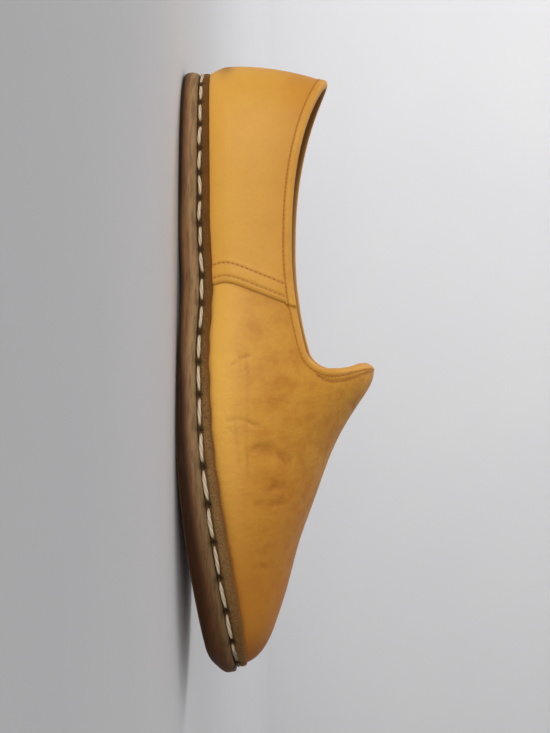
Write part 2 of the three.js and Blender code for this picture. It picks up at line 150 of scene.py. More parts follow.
def spline(xs, ys):
    """Natural cubic spline: cubic pieces that share slope and bend where they meet, straight at the ends."""
    xs = np.asarray(xs, float)
    ys = np.asarray(ys, float)
    step = np.diff(xs)
    inner = np.arange(1, len(xs) - 1)
    turns = np.eye(len(xs))
    turns[inner, inner - 1] = step[:-1]
    turns[inner, inner] = 2 * (step[:-1] + step[1:])
    turns[inner, inner + 1] = step[1:]
    rest = np.zeros(len(xs))
    rest[inner] = 6 * np.diff(np.diff(ys) / step)
    bend = np.linalg.solve(turns, rest)

    def curve(x):
        k = np.clip(np.searchsorted(xs, x) - 1, 0, len(step) - 1)
        width = step[k]
        b = (x - xs[k]) / width
        a = 1 - b
        bow = (a ** 3 - a) * bend[k] + (b ** 3 - b) * bend[k + 1]
        return a * ys[k] + b * ys[k + 1] + bow * width ** 2 / 6

    return curve


def ease(share):
    """Smooth step from 0 to 1."""
    s = np.clip(share, 0, 1)
    return s * s * (3 - 2 * s)


def between(x, start, end):
    """Smooth step from 0 at start to 1 at end."""
    return ease((x - start) / (end - start))


def bell(distance, width):
    """Bell curve: 1 at no distance, falling off over a width."""
    return np.exp(-((distance / width) ** 2))


def bell_at(place, spot):
    """Bell curve round a spot, which is given as its middle and its width."""
    return bell(place - spot[0], spot[1])


def unit(vectors):
    return vectors / np.linalg.norm(vectors, axis=-1, keepdims=True)


def dot(a, b):
    return (a * b).sum(-1)


def with_height(place, z):
    """Places seen from above, together with their heights."""
    return np.concatenate([place, z[..., None]], -1)


def run_length(points):
    """Length along a line of points, from 0."""
    steps = np.linalg.norm(np.diff(points, axis=0), axis=-1)
    return np.concatenate([[0], np.cumsum(steps)])


def on_line(s, length, points):
    """Points at lengths s along a line of points."""
    return np.stack([np.interp(s, length, points[:, k]) for k in range(3)], -1)


def along(at):
    """A share of the length as a place along X."""
    return (np.asarray(at, float) - 0.5) * LENGTH


HEEL_X = float(along(FOOT["at"][0]))
TOE_X = float(along(FOOT["at"][-1]))


def x_of(t):
    """Place along X of the foot line's t, with close steps at heel and toe: a half cosine wave."""
    return HEEL_X + (TOE_X - HEEL_X) * (1 - np.cos(np.pi * t)) / 2


def t_of(x):
    return np.arccos(np.clip(1 - 2 * (x - HEEL_X) / (TOE_X - HEEL_X), -1, 1)) / np.pi


def even_column(table, name):
    """A column of a table as a function of t, splined along X."""
    curve = spline(along(table["at"]), table[name])
    return lambda t: curve(x_of(t))


lateral_share = spline(t_of(along(FOOT["at"])), FOOT["lateral"])
medial_share = spline(t_of(along(FOOT["at"])), FOOT["medial"])
sole_thickness = even_column(FOOT, "sole")
welt_height = even_column(FOOT, "welt")
edge_width = even_column(FOOT, "edge")
rib_roll = even_column(RIBS, "roll")
rib_lean = even_column(RIBS, "lean")
rib_low = even_column(RIBS, "low")
rib_high = even_column(RIBS, "high")
ridge_share = spline(along(RIDGE["at"]), RIDGE["height"])
ridge_side = spline(along(RIDGE["at"]), RIDGE["side"])
lap_x = spline(LAP["up"], along(LAP["at"]))


def floor_line(x):
    """Underside of the sole: a squared sine for the arch and a power curve for the toe spring."""
    arch = np.clip((x - ARCH_FROM) / (ARCH_TO - ARCH_FROM), 0, 1)
    spring = np.maximum((x - SPRING_FROM) / (LENGTH / 2 - SPRING_FROM), 0)
    return ARCH_LIFT * np.sin(np.pi * arch) ** 2 + SPRING_HEIGHT * spring ** SPRING_POWER


def sole_top(t):
    return floor_line(x_of(t)) + sole_thickness(t)


def welt_top(t):
    return sole_top(t) + welt_height(t)


def foot_line(t, side):
    """Foot line of the upper seen from above."""
    share = np.where(side < 0, -lateral_share(t), medial_share(t))
    return np.stack([x_of(t), BALL_WIDTH * share], -1)


def foot_line_moved(t, side, out):
    """The foot line moved out by a distance, square to its own run."""
    run = foot_line(np.minimum(t + SLOPE_STEP, 1), side) - foot_line(np.maximum(t - SLOPE_STEP, 0), side)
    across = np.stack([np.zeros_like(t), np.where(t < 0.5, side, -side)], -1)
    run = np.where(((t <= 0) | (t >= 1))[..., None], across, run)
    square = unit(np.stack([run[..., 1], -run[..., 0]], -1)) * (-side * out)[..., None]
    return foot_line(t, side) + square


def rib(t, w, side):
    """Outer face of the upper: a Bezier curve from the foot line (w = 0) to the ridge (w = 1), which starts
    at its lean, ends level with the ridge line, and rolls out over its foot by a quarter sine wave."""
    foot = foot_line(t, side)
    foot_z = welt_top(t)
    ridge_x = foot[..., 0] + HEEL_FAN * (1 - ease(2 * t)) - TOE_FAN * ease(2 * t - 1)
    ridge_z = INSTEP_HEIGHT * ridge_share(ridge_x)
    slope = INSTEP_HEIGHT * (ridge_share(ridge_x + 1) - ridge_share(ridge_x - 1)) / 2
    inward = np.stack([ridge_x - foot[..., 0], ridge_side(ridge_x) - foot[..., 1]], -1)
    reach = np.linalg.norm(inward, axis=-1)
    rise = rib_low(t) * (ridge_z - foot_z)
    lean = np.radians(rib_lean(t))
    high = rib_high(t)
    first, second, third, fourth = (1 - w) ** 3, 3 * (1 - w) ** 2 * w, 3 * (1 - w) * w ** 2, w ** 3
    depth = second * rise * np.sin(lean) + third * reach * (1 - high) + fourth * reach
    z = first * foot_z + second * (foot_z + rise * np.cos(lean))
    z = z + third * (ridge_z - slope * high * inward[..., 0]) + fourth * ridge_z
    rolled = np.sin(np.pi / 2 * np.clip((z - foot_z) / ROLL_HEIGHT, 0, 1)) * (1 - ease(w))
    share = (depth - rib_roll(t) * rolled) / reach
    return with_height(foot + inward * share[..., None], z)


def slopes(t, w, side):
    """Slopes of the outer face along t and along w, by central differences."""
    ahead, behind = np.minimum(t + SLOPE_STEP, 1), np.maximum(t - SLOPE_STEP, 0)
    above, below = np.minimum(w + SLOPE_STEP, 1), np.maximum(w - SLOPE_STEP, 0)
    run = (rib(ahead, w, side) - rib(behind, w, side)) / (ahead - behind)[..., None]
    rise = (rib(t, above, side) - rib(t, below, side)) / (above - below)[..., None]
    across = np.zeros_like(run)
    across[..., 1] = np.where(t < 0.5, side, -side) * np.linalg.norm(run, axis=-1)
    return np.where(((t <= 0) | (t >= 1))[..., None], across, run), rise


def off_face(t, w, side):
    """Unit direction off the outer face: the cross product of its slopes, upright over the ridge."""
    run, rise = slopes(t, w, side)
    off = np.cross(run, rise) * -np.broadcast_to(side, t.shape)[..., None]
    off[..., 1] = np.where(w >= 1, 0, off[..., 1])
    return unit(off)


def skin(t, w, side, out):
    """Outer face of the upper moved off by a distance. Rows with w below 0 are the upright foot."""
    t, w, side, out = np.broadcast_arrays(t, w, side, out)
    raised = np.maximum(w, 0)
    rolled = out - throat_drop(t, raised, side)
    face = rib(t, raised, side) + off_face(t, raised, side) * rolled[..., None]
    foot = with_height(foot_line_moved(t, side, out), sole_top(t) + GAP)
    return np.where((w < 0)[..., None], foot, face)


def walk(t, w, side, target, rounds=4):
    """Place (t, w) on the outer face nearest to a target point: Gauss-Newton steps along both slopes."""
    for _ in range(rounds):
        run, rise = slopes(t, w, side)
        miss = target - rib(t, w, side)
        a, b, c = dot(run, run), dot(run, rise), dot(rise, rise)
        p, q = dot(miss, run), dot(miss, rise)
        scale = a * c - b * b
        t = np.clip(t + (c * p - b * q) / scale, 0, 1)
        w = np.clip(w + (a * q - b * p) / scale, 0, 1)
    return t, w


def collar_height(x):
    """Finished collar edge over a place x: a power curve to the heel, a parabola to the front and the
    quarter circle of the throat's corner."""
    back = np.maximum((DIP_X - x) / (DIP_X - HEEL_X), 0) ** BACK_POWER
    front = (np.maximum(x - DIP_X, 0) / (FRONT_X - DIP_X)) ** 2
    turn = np.clip(x - THROAT_X + CORNER_RADIUS, 0, CORNER_RADIUS)
    corner = CORNER_RADIUS - np.sqrt(CORNER_RADIUS ** 2 - turn ** 2)
    return DIP_HEIGHT + (HEEL_HEIGHT - DIP_HEIGHT) * back + FRONT_RISE * front + corner


def collar_w(t, side):
    """The w at which ribs reach the wall's top edge under the rim's cap, by halving."""
    height = collar_height(x_of(t)) - RIM_CAP
    low = np.zeros_like(height)
    high = np.ones_like(height)
    for _ in range(HALVINGS):
        middle = (low + high) / 2
        under = rib(t, middle, side)[..., 2] < height
        low = np.where(under, middle, low)
        high = np.where(under, high, middle)
    return high


THROAT_T = float(t_of(THROAT_X))
corner_w = {side: float(collar_w(np.array([THROAT_T]), side)[0]) for side in SIDES}


def instep_share(w, side):
    """Share of the way from the throat's corner to the ridge."""
    corner = np.where(side < 0, corner_w[LATERAL], corner_w[MEDIAL])
    return np.maximum((w - corner) / (1 - corner), 0)


def throat_x(w, side):
    """Place along X of the throat edge: straight up the corner, then set back towards the middle."""
    return THROAT_X - THROAT_SETBACK * ease(instep_share(w, side) / THROAT_TOP)


def throat_t(w, side):
    return t_of(throat_x(w, side))


def throat_drop(t, w, side):
    """How far the leather over the instep rolls in at the throat edge: a power curve over its reach, which
    grows from the corner to the ridge."""
    ahead = x_of(t) - throat_x(w, side)
    roll = np.clip(1 - ahead / THROAT_REACH, 0, THROAT_OVERRUN) ** THROAT_POWER
    return THROAT_DROP * ease(THROAT_ROLL * instep_share(w, side)) * roll


class Shell:
    """Grids of points that become one mesh: points in the same place are one vertex."""

    MERGE = 2e-4

    def __init__(self):
        self.points = []
        self.quads = []
        self.marks = []
        self.count = 0

    def grid(self, points, turned=False, **marks):
        """Four-sided faces between neighbours in the last two directions of an array, with named values."""
        shape = points.shape[:-1]
        index = np.arange(math.prod(shape)).reshape(shape) + self.count
        corners = index[..., :-1, :-1], index[..., 1:, :-1], index[..., 1:, 1:], index[..., :-1, 1:]
        quads = np.stack(corners, -1).reshape(-1, 4)
        self.points.append(points.reshape(-1, 3))
        self.quads.append(quads[:, ::-1] if turned else quads)
        self.marks.append({name: np.broadcast_to(value, shape).ravel() for name, value in marks.items()})
        self.count += math.prod(shape)

    def strip(self, first, second, turned=False, **marks):
        """Faces between two lines of points."""
        self.grid(np.stack([first, second], -2), turned, **marks)

    def mesh(self, name, sharp_degrees):
        """The mesh in metres. A face whose side has shrunk to a point becomes a triangle."""
        points = np.concatenate(self.points)
        keys = np.round(points / self.MERGE).astype(np.int64)
        _, first, again = np.unique(keys, axis=0, return_index=True, return_inverse=True)
        quads = again.ravel()[np.concatenate(self.quads)]
        fresh = quads != np.roll(quads, -1, axis=1)
        whole = fresh.sum(1) >= 3
        corners = quads[whole][fresh[whole]]
        totals = fresh[whole].sum(1)
        mesh = bpy.data.meshes.new(name)
        mesh.vertices.add(len(first))
        mesh.vertices.foreach_set("co", (points[first] * MM).ravel())
        mesh.loops.add(len(corners))
        mesh.loops.foreach_set("vertex_index", corners)
        mesh.polygons.add(len(totals))
        mesh.polygons.foreach_set("loop_start", np.cumsum(totals) - totals)
        mesh.polygons.foreach_set("use_smooth", np.ones(len(totals), bool))
        for mark in sorted({name for marks in self.marks for name in marks}):
            parts = [m.get(mark, np.zeros(len(p))) for m, p in zip(self.marks, self.points)]
            layer = mesh.attributes.new(mark, "FLOAT", "POINT")
            layer.data.foreach_set("value", np.concatenate(parts)[first].astype(np.float32))
        mesh.update(calc_edges=True)
        mesh.validate()
        mesh.set_sharp_from_angle(angle=math.radians(sharp_degrees))
        return mesh


# Degrees from which an edge stays sharp
PIECE_SHARP = 42
FLOOR_SHARP = 60


def put_in_scene(name, data):
    thing = bpy.data.objects.new(name, data)
    bpy.context.scene.collection.objects.link(thing)
    return thing


def add_piece(shell, name, finish, slot, *nodes):
    """Puts a shell into the scene as a piece of the shoe, in place of the named solids."""
    piece = put_in_scene(name, shell.mesh(name, PIECE_SHARP))
    piece.data.materials.append(finish.material)
    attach(piece, "root")
    if nodes:
        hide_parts(*nodes)


class Value:
    """A number on a shader socket. Expressions on it add Math nodes to its finish."""

    def __init__(self, finish, socket):
        self.finish = finish
        self.socket = socket

    def math(self, operation, first, second):
        return self.finish.node("ShaderNodeMath", {"operation": operation}, {0: first, 1: second})

    def __add__(self, other):
        return self.math("ADD", self, other)

    def __sub__(self, other):
        return self.math("SUBTRACT", self, other)

    def __rsub__(self, other):
        return self.math("SUBTRACT", other, self)

    def __mul__(self, other):
        return self.math("MULTIPLY", self, other)

    __radd__ = __add__
    __rmul__ = __mul__

    def step(self, low, high):
        """Smooth step from 0 at low to 1 at high."""
        inputs = {"Value": self, "From Min": low, "From Max": high}
        return self.finish.node("ShaderNodeMapRange", {"interpolation_type": "SMOOTHSTEP"}, inputs)


class Finish:
    """A material under construction."""

    def __init__(self, name):
        self.material = bpy.data.materials.new(name)
        self.material.use_nodes = True
        self.tree = self.material.node_tree
        self.place = self.node("ShaderNodeTexCoord", output="Object")

    def node(self, kind, settings=None, inputs=None, output=0):
        """Adds a node: first its settings, then the values or links of its sockets."""
        node = self.tree.nodes.new(kind)
        for name, value in (settings or {}).items():
            setattr(node, name, value)
        for name, value in (inputs or {}).items():
            self.feed(node.inputs[name], value)
        return Value(self, node.outputs[output])

    def feed(self, socket, value):
        if isinstance(value, Value):
            self.tree.links.new(value.socket, socket)
        else:
            socket.default_value = value

    def mark(self, name):
        """A value that the mesh carries."""
        return self.node("ShaderNodeAttribute", {"attribute_name": name}, output="Fac")

    def stretched(self, x, y, z):
        """Object coordinates scaled on each axis."""
        return self.node("ShaderNodeMapping", None, {"Vector": self.place, "Scale": (x, y, z)})

    def noise(self, size_mm, detail=3.0, roughness=0.5, where=None):
        """Noise from 0 to 1 with lumps of a size."""
        inputs = {"Vector": where or self.place, "Scale": 1 / (size_mm * MM), "Detail": detail}
        inputs["Roughness"] = roughness
        return self.node("ShaderNodeTexNoise", None, inputs, "Fac")

    def cells(self, size_mm):
        """Distance within irregular cells of a size, in cell widths."""
        inputs = {"Vector": self.place, "Scale": 1 / (size_mm * MM)}
        return self.node("ShaderNodeTexVoronoi", {"feature": "F1"}, inputs, "Distance")

    def coated(self, tone, *coats):
        """A colour with other colours laid over it, each given with its share."""
        for share, coat in coats:
            tone = self.node("ShaderNodeMix", {"data_type": "RGBA"}, {0: share, 6: tone, 7: coat}, 2)
        return tone

    def bump(self, height, depth_mm):
        """A normal for a height from 0 to 1 that stands for a depth."""
        return self.node("ShaderNodeBump", None, {"Height": height, "Distance": depth_mm * MM})

    def shade(self, **sockets):
        """Sets the surface's sockets, given with underscores for spaces."""
        shader = self.tree.nodes["Principled BSDF"]
        for name, value in sockets.items():
            self.feed(shader.inputs[name.replace("_", " ")], value)


def colour(red, green, blue):
    """A screen colour from 0 to 255 as linear light."""
    screen = np.array([red, green, blue]) / 255
    linear = np.where(screen > 0.04045, ((screen + 0.055) / 1.055) ** 2.4, screen / 12.92)
    return (*linear.tolist(), 1.0)


MUSTARD = colour(219, 157, 58)
# Lighter mustard, laid on as painted light
MUSTARD_PAINTED_LIGHT = colour(246, 189, 84)
MUSTARD_DEEP = colour(192, 118, 38)
# Deeper ochre: the toe's own tone with painted shade, and painted shade at the top of the quarter
OCHRE = colour(184, 100, 6)
# Colour of burnishing, also used for painted shade and shadow by seams, stitch dents and the lap
BURNISHED_AND_SHADE = colour(122, 60, 14)
# Colour of the painted shade in creases
CREASE_SHADE = colour(150, 84, 22)
LINING_BROWN = colour(166, 116, 68)


def mustard_leather(name, cloudy, painted_light_share):
    """Satin mustard leather: cloudy tone, fine grain and wrinkles, lighter over its foot and over a whole
    piece by a share of painted light, darker with painted shade in creases and next to seams, and with
    burnishing at its edges."""
    leather = Finish(name)
    cloud = leather.noise(8, 4, 0.6).step(0.36, 0.7)
    broad = leather.noise(30, 2).step(0.35, 0.65)
    fleck = leather.noise(2.4, 4, 0.6)
    wrinkle = leather.noise(2.6, 5, 0.6, leather.stretched(1.0, 0.3, 0.3))
    lumps = leather.noise(7, 3, 0.5)
    tone = leather.coated(
        MUSTARD,
        ((cloud * 0.46 + (fleck - 0.5) * 0.6) * cloudy + broad * 0.2, MUSTARD_DEEP),
        ((leather.noise(0.5, 2) - 0.45) * 0.35, MUSTARD_DEEP),
        # painted light: lighter over the foot, and over a whole piece by a share
        (painted_light_share + leather.mark("pale"), MUSTARD_PAINTED_LIGHT),
        # deeper ochre: partly own tone and partly painted shade towards the toe, painted shade at the
        # quarter's top
        (leather.mark("toe"), OCHRE),
        # painted shade in the bottoms of creases
        (leather.mark("crease") * 0.5, CREASE_SHADE),
        # burnishing, with painted shade and shadow at the foot, the lap, stitch dents and the rim's groove
        (leather.mark("burnish"), BURNISHED_AND_SHADE),
        (leather.mark("lined"), LINING_BROWN),
    )
    height = leather.cells(0.9) * 0.6 + leather.noise(0.35, 2) * 0.4 + leather.noise(4.5, 4, 0.6) * 1.6
    leather.shade(
        Base_Color=tone,
        Roughness=0.42 + fleck * 0.22,
        Normal=leather.bump(height + (wrinkle * 2.4 + lumps * 5.2) * leather.mark("flex"), 0.1),
        Specular_IOR_Level=0.24,
        Coat_Weight=0.05,
        Coat_Roughness=0.38,
    )
    return leather


def lining_leather():
    """Plain brown lining leather, darker at the heel."""
    leather = Finish("lining_leather")
    cloud = leather.noise(14, 4, 0.6).step(0.3, 0.7)
    tone = leather.coated(
        colour(196, 146, 92),
        (cloud, colour(166, 118, 72)),
        (leather.mark("wear"), colour(96, 64, 38)),
    )
    height = leather.cells(0.8) + leather.noise(0.4, 2)
    leather.shade(Base_Color=tone, Roughness=0.6 + cloud * 0.15, Normal=leather.bump(height, 0.05))
    return leather


def welt_suede():
    """Brown suede strip: short speckled nap, redder at the heel, lighter at the ball, reddish dye along its
    upper line with painted shade at the join, and painted shade in the groove and round the thread holes."""
    suede = Finish("welt_suede")
    fore = suede.mark("fore")
    nap = suede.noise(0.7, 3, 0.75)
    ball = fore.step(0.42, 0.58) - fore.step(0.7, 0.85)
    tone = suede.coated(
        colour(82, 56, 25),
        (nap.step(0.3, 0.7), colour(144, 107, 52)),
        ((1 - suede.cells(1.3).step(0.1, 0.3)) * (0.1 + fore * 0.3), colour(174, 142, 92)),
        (suede.noise(5, 3).step(0.4, 0.75) * 0.45, colour(84, 60, 36)),
        (0.75 - fore * 0.75, colour(100, 59, 26)),
        (ball * (0.15 + nap.step(0.35, 0.6) * 0.45), colour(160, 124, 78)),
        # reddish dye along the upper line, with painted shade at the join with the upper
        (suede.mark("line") * (0.9 - fore * 0.5), colour(122, 70, 26)),
        # painted shade in the groove by the thread
        (suede.mark("groove") * 0.7, colour(76, 56, 34)),
        # painted shade in the thread holes
        (suede.mark("hole"), colour(18, 12, 8)),
    )
    suede.shade(
        Base_Color=tone,
        Roughness=0.95,
        Normal=suede.bump(nap + suede.noise(1.6, 2) * 0.8, 0.22),
        Specular_IOR_Level=0.15,
        Sheen_Weight=0.35,
        Sheen_Roughness=0.5,
        Sheen_Tint=colour(205, 165, 120),
    )
    return suede


def sole_leather():
    """Oiled brown sole leather: taupe on its upper bevel, redder below and scuffed on the tread. Painted
    shade makes the foot of its side nearly black, least so at the waist, and dark by the thread and in its
    holes; a painted shadow makes it darker towards the toe."""
    leather = Finish("sole_leather")
    up = leather.mark("up")
    fore = leather.mark("fore")
    layers = leather.noise(1.1, 3, 0.6, leather.stretched(0.12, 0.12, 1.0))
    cloud = leather.noise(9, 4, 0.6)
    scuff = leather.noise(2.4, 6, 0.75, leather.stretched(0.35, 1.0, 1.0))
    rise = fore.step(0.2, 0.6)
    ball = rise * rise - fore.step(0.72, 0.88)
    waist = fore.step(0.28, 0.4) - fore.step(0.42, 0.53)
    # painted shade: the foot of the side nearly black, deepest at the ball and least at the waist
    side = leather.coated(
        colour(40, 29, 20),
        ((up - ball * 0.22 + waist * 0.2).step(0.1, 0.46), colour(136, 96, 62)),
        ((up - ball * 0.1).step(0.4, 0.66), colour(164, 128, 88)),
        (up.step(0.76, 0.9), colour(156, 127, 88)),
        (layers.step(0.42, 0.66) * 0.45, colour(80, 50, 28)),
        # painted shadow: darker towards the toe, less so on the upper bevel
        (fore.step(0.42, 0.88) * (0.82 - up.step(0.7, 0.9) * 0.3), colour(68, 35, 9)),
        # painted shade in the groove by the thread
        (leather.mark("groove") * 0.6, colour(128, 102, 64)),
    )
    tread = leather.coated(
        colour(104, 74, 48),
        (scuff.step(0.35, 0.7), colour(140, 106, 72)),
        (leather.mark("wear") * cloud.step(0.2, 0.8), colour(66, 48, 34)),
    )
    tone = leather.coated(
        side,
        (leather.mark("tread"), tread),
        (cloud.step(0.55, 0.85) * 0.3, colour(78, 52, 34)),
        # painted shade in the thread holes
        (leather.mark("hole"), colour(22, 14, 9)),
    )
    leather.shade(
        Base_Color=tone,
        Roughness=0.5 + cloud * 0.25,
        Normal=leather.bump(leather.cells(0.7) * 0.5 + layers + scuff * 0.6, 0.08),
        Specular_IOR_Level=0.15,
    )
    return leather


def insole_leather():
    """Smooth brown insole leather, polished and darkened by the foot."""
    leather = Finish("insole_leather")
    cloud = leather.noise(18, 4, 0.6)
    tone = leather.coated(
        colour(158, 112, 66),
        (cloud.step(0.3, 0.7), colour(132, 90, 52)),
        (leather.mark("wear"), colour(84, 56, 33)),
    )
    leather.shade(
        Base_Color=tone,
        Roughness=0.45 + cloud * 0.2,
        Normal=leather.bump(leather.cells(0.8) + leather.noise(3, 4), 0.06),
    )
    return leather


def waxed_thread():
    """Thick cream thread, waxed, darker between its plies, at its ends and towards the toe."""
    thread = Finish("waxed_thread")
    tone = thread.coated(
        colour(238, 221, 192),
        (thread.noise(2.2, 3), colour(214, 191, 156)),
        (thread.mark("hollow"), colour(128, 98, 64)),
        (thread.mark("end"), colour(84, 58, 36)),
    )
    fibre = thread.noise(0.25, 3, 0.7)
    thread.shade(Base_Color=tone, Roughness=0.62, Normal=thread.bump(fibre, 0.06), Specular_IOR_Level=0.35)
    return thread


def seam_thread():
    """Fine golden brown sewing thread."""
    thread = Finish("seam_thread")
    tone = thread.coated(colour(208, 136, 46), (thread.noise(1.5, 2), colour(182, 114, 36)))
    thread.shade(Base_Color=tone, Roughness=0.6, Normal=thread.bump(thread.noise(0.15, 2), 0.03))
    return thread


# Creases of the upper as soft troughs, or ridges where the depth is below 0. side: side of the shoe.
# x: places along the foot line. w: places up the ribs. Both are for the start, the bend and the end.
# depth, width: of the trough.
Crease = namedtuple("Crease", "side x w depth width")
CREASES = (
    Crease(LATERAL, (-3, -5, -8), (0.09, 0.14, 0.19), 0.65, 1.0),
    Crease(LATERAL, (-10, -5, 2), (0.13, 0.13, 0.14), 0.22, 1.2),
    Crease(LATERAL, (-10, -2, 9), (0.163, 0.164, 0.17), 0.28, 1.3),
    Crease(LATERAL, (21, 21, 24), (0.07, 0.16, 0.27), 0.7, 1.1),
    Crease(LATERAL, (25, 26, 28), (0.07, 0.11, 0.16), 0.3, 0.9),
    Crease(LATERAL, (36, 33, 33), (0.18, 0.23, 0.32), 0.7, 1.5),
    Crease(LATERAL, (33, 33, 43), (0.28, 0.37, 0.47), 0.5, 2.6),
    Crease(LATERAL, (36, 30, 42), (0.2, 0.34, 0.5), 0.55, 4.6),
    Crease(LATERAL, (46, 40, 49), (0.2, 0.28, 0.4), -0.6, 4.5),
    Crease(LATERAL, (6, 29, 50), (0.166, 0.19, 0.2), 0.24, 1.2),
    Crease(LATERAL, (16, 30, 44), (0.115, 0.135, 0.15), 0.2, 1.3),
    Crease(LATERAL, (13, 16, 22), (0.72, 0.86, 1.0), 0.3, 1.8),
    Crease(LATERAL, (60, 57, 61), (0.22, 0.34, 0.5), 0.45, 2.6),
    Crease(LATERAL, (54, 49, 54), (0.3, 0.39, 0.52), 0.45, 3.0),
    Crease(LATERAL, (88, 87, 91), (0.21, 0.32, 0.44), 0.3, 1.7),
    Crease(LATERAL, (81, 81, 84), (0.25, 0.3, 0.38), 0.22, 1.6),
    Crease(LATERAL, (30, 33, 42), (0.5, 0.68, 0.9), 0.16, 5.5),
    Crease(LATERAL, (54, 57, 64), (0.5, 0.66, 0.85), 0.14, 5.0),
    Crease(MEDIAL, (14, 18, 22), (0.6, 0.8, 1.0), 0.35, 2.2),
    Crease(MEDIAL, (24, 26, 30), (0.5, 0.72, 0.94), 0.3, 2.4),
    Crease(MEDIAL, (36, 34, 40), (0.4, 0.6, 0.9), 0.4, 2.8),
    Crease(MEDIAL, (8, 5, 2), (0.12, 0.2, 0.3), 0.45, 1.6),
    Crease(MEDIAL, (30, 28, 34), (0.1, 0.22, 0.36), 0.5, 2.0),
    Crease(MEDIAL, (52, 48, 54), (0.2, 0.36, 0.56), 0.5, 2.4),
    Crease(MEDIAL, (68, 65, 70), (0.25, 0.4, 0.6), 0.35, 2.0),
)

# Run of a crease. WANDER, WAVES, START: swing of its path, how often, and shifted how far from crease to
# crease. SHOULDER: height of its raised edges. LINE: its dark line of painted shade as a share of its width,
# and at
# most. FULL: depth at which that painted shade is full. OVER_RIDGE: w past which it reaches the other side.
# FADE:
# power of its ends. BREAKS: weakening along it, how often, and shifted how far from crease to crease.
CREASE_POINTS = 18
CREASE_WANDER = 0.5
CREASE_WAVES = 1.3
CREASE_START = 2.4
CREASE_SHOULDER = 0.55
CREASE_LINE = (0.58, 1.4)
CREASE_FULL = 0.42
CREASE_OVER_RIDGE = 0.95
CREASE_FADE = 0.6
CREASE_BREAKS = (0.3, 9.0, 4.1)


def nearest_on(path, points):
    """Distance of points to the nearest stretch of a path, and the share of the path that lies before it."""
    start, run = path[:-1], np.diff(path, axis=0)
    from_start = points[..., None, :] - start
    share = np.clip(dot(from_start, run) / dot(run, run), 0, 1)
    gap = np.linalg.norm(from_start - share[..., None] * run, axis=-1)
    nearest = gap.argmin(-1)[..., None]
    place = (nearest[..., 0] + np.take_along_axis(share, nearest, -1)[..., 0]) / len(run)
    return np.take_along_axis(gap, nearest, -1)[..., 0], place


def relief(t, w, side):
    """Offset of the creases off the upper's face, and a mark from 0 to 1 that paints shade into their
    bottoms. A crease is a bell curve across a wandering path, with raised shoulders, and fades unevenly
    towards both ends."""
    points = rib(t, np.maximum(w, 0), side)
    offset = np.zeros(points.shape[:-1])
    mark = np.zeros(points.shape[:-1])
    share = np.linspace(0, 1, CREASE_POINTS)
    blend = np.stack([(1 - share) ** 2, 2 * share * (1 - share), share ** 2], -1)
    weak, turns, shift = CREASE_BREAKS
    for number, crease in enumerate(CREASES):
        if crease.side != side and max(crease.w) < CREASE_OVER_RIDGE:
            continue
        wander = CREASE_WANDER * np.sin(2 * np.pi * CREASE_WAVES * share + CREASE_START * number)
        path_t = t_of(blend @ np.array(crease.x, float) + wander)
        path_w = np.clip(blend @ np.array(crease.w), 0, 1)
        gap, place = nearest_on(rib(path_t, path_w, crease.side), points)
        uneven = 1 - weak + weak * np.cos(turns * place + shift * number)
        fade = (4 * place * (1 - place)) ** CREASE_FADE * uneven
        shoulders = 1 - CREASE_SHOULDER * (gap / crease.width) ** 2
        offset -= crease.depth * shoulders * bell(gap, crease.width) * fade
        reach = min(CREASE_LINE[0] * crease.width, CREASE_LINE[1])
        # painted shade: a dark line along the bottom of the crease
        mark = np.maximum(mark, bell(gap, reach) * fade * np.clip(crease.depth / CREASE_FULL, 0, 1))
    return offset, mark


# Steps of the upper's grids: along the quarter, the side and the front, up the wall and over the instep.
# THROAT_SHARE: part of the front with close steps. FRONT_CLOSE: power that draws the others to the throat.
# CREASE_INSIDE: share of a crease that shows on the inside.
UPPER_STEPS = {"back": 24, "side": 46, "throat": 28, "front": 142, "wall": 46, "arch": 46}
LINING_STEPS = {"back": 90, "side": 30, "throat": 8, "front": 64, "wall": 34, "arch": 26}
THROAT_SHARE = 0.046
FRONT_CLOSE = 1.25
CREASE_INSIDE = 0.5


def wall_patches(side, steps):
    """The upper's places (t, w): back and side below the collar, front with the instep. Row 0 is the foot."""
    rows = np.concatenate([[-1.0], np.linspace(0, 1, steps["wall"] + 1)])
    v = np.maximum(rows, 0)
    lap_t = t_of(lap_x(v))
    back_t = np.linspace(0, 1, steps["back"] + 1)[:, None] * lap_t
    from_lap = np.sin(np.linspace(0, np.pi / 2, steps["side"] + 1))[:, None]
    side_t = lap_t + from_lap * (THROAT_T - lap_t)
    arch = np.linspace(corner_w[side], 1, steps["arch"] + 1)[1:]
    front_w = np.concatenate([np.where(rows < 0, -1, rows * corner_w[side]), arch])
    start = throat_t(np.maximum(front_w, 0), side)
    near = np.linspace(0, THROAT_SHARE, steps["throat"], endpoint=False)
    far = THROAT_SHARE + (1 - THROAT_SHARE) * np.linspace(0, 1, steps["front"] + 1) ** FRONT_CLOSE
    front_t = start + np.concatenate([near, far])[:, None] * (1 - start)
    for t in (back_t, side_t):
        w = v * collar_w(t, side)
        yield t, np.where(rows < 0, -1, w), True
    yield front_t, np.broadcast_to(front_w, front_t.shape), False


def hollow_wall(steps, outer, inner, marks):
    """A closed wall between two offsets off the upper's face, open at collar, throat and underneath."""
    shell = Shell()
    for side in SIDES:
        turned = side == MEDIAL
        for t, w, collar in wall_patches(side, steps):
            out, face_marks = marks(t, w, side)
            outside = skin(t, w, side, outer + out)
            inside = skin(t, w, side, inner + out * CREASE_INSIDE)
            rim = (slice(None), -1) if collar else (0, slice(steps["wall"] + 1, None))
            shell.grid(outside, turned, **face_marks)
            shell.grid(inside, not turned, **face_marks)
            shell.strip(outside[:, 0], inside[:, 0], not turned)
            shell.strip(outside[rim], inside[rim], turned)
    return shell


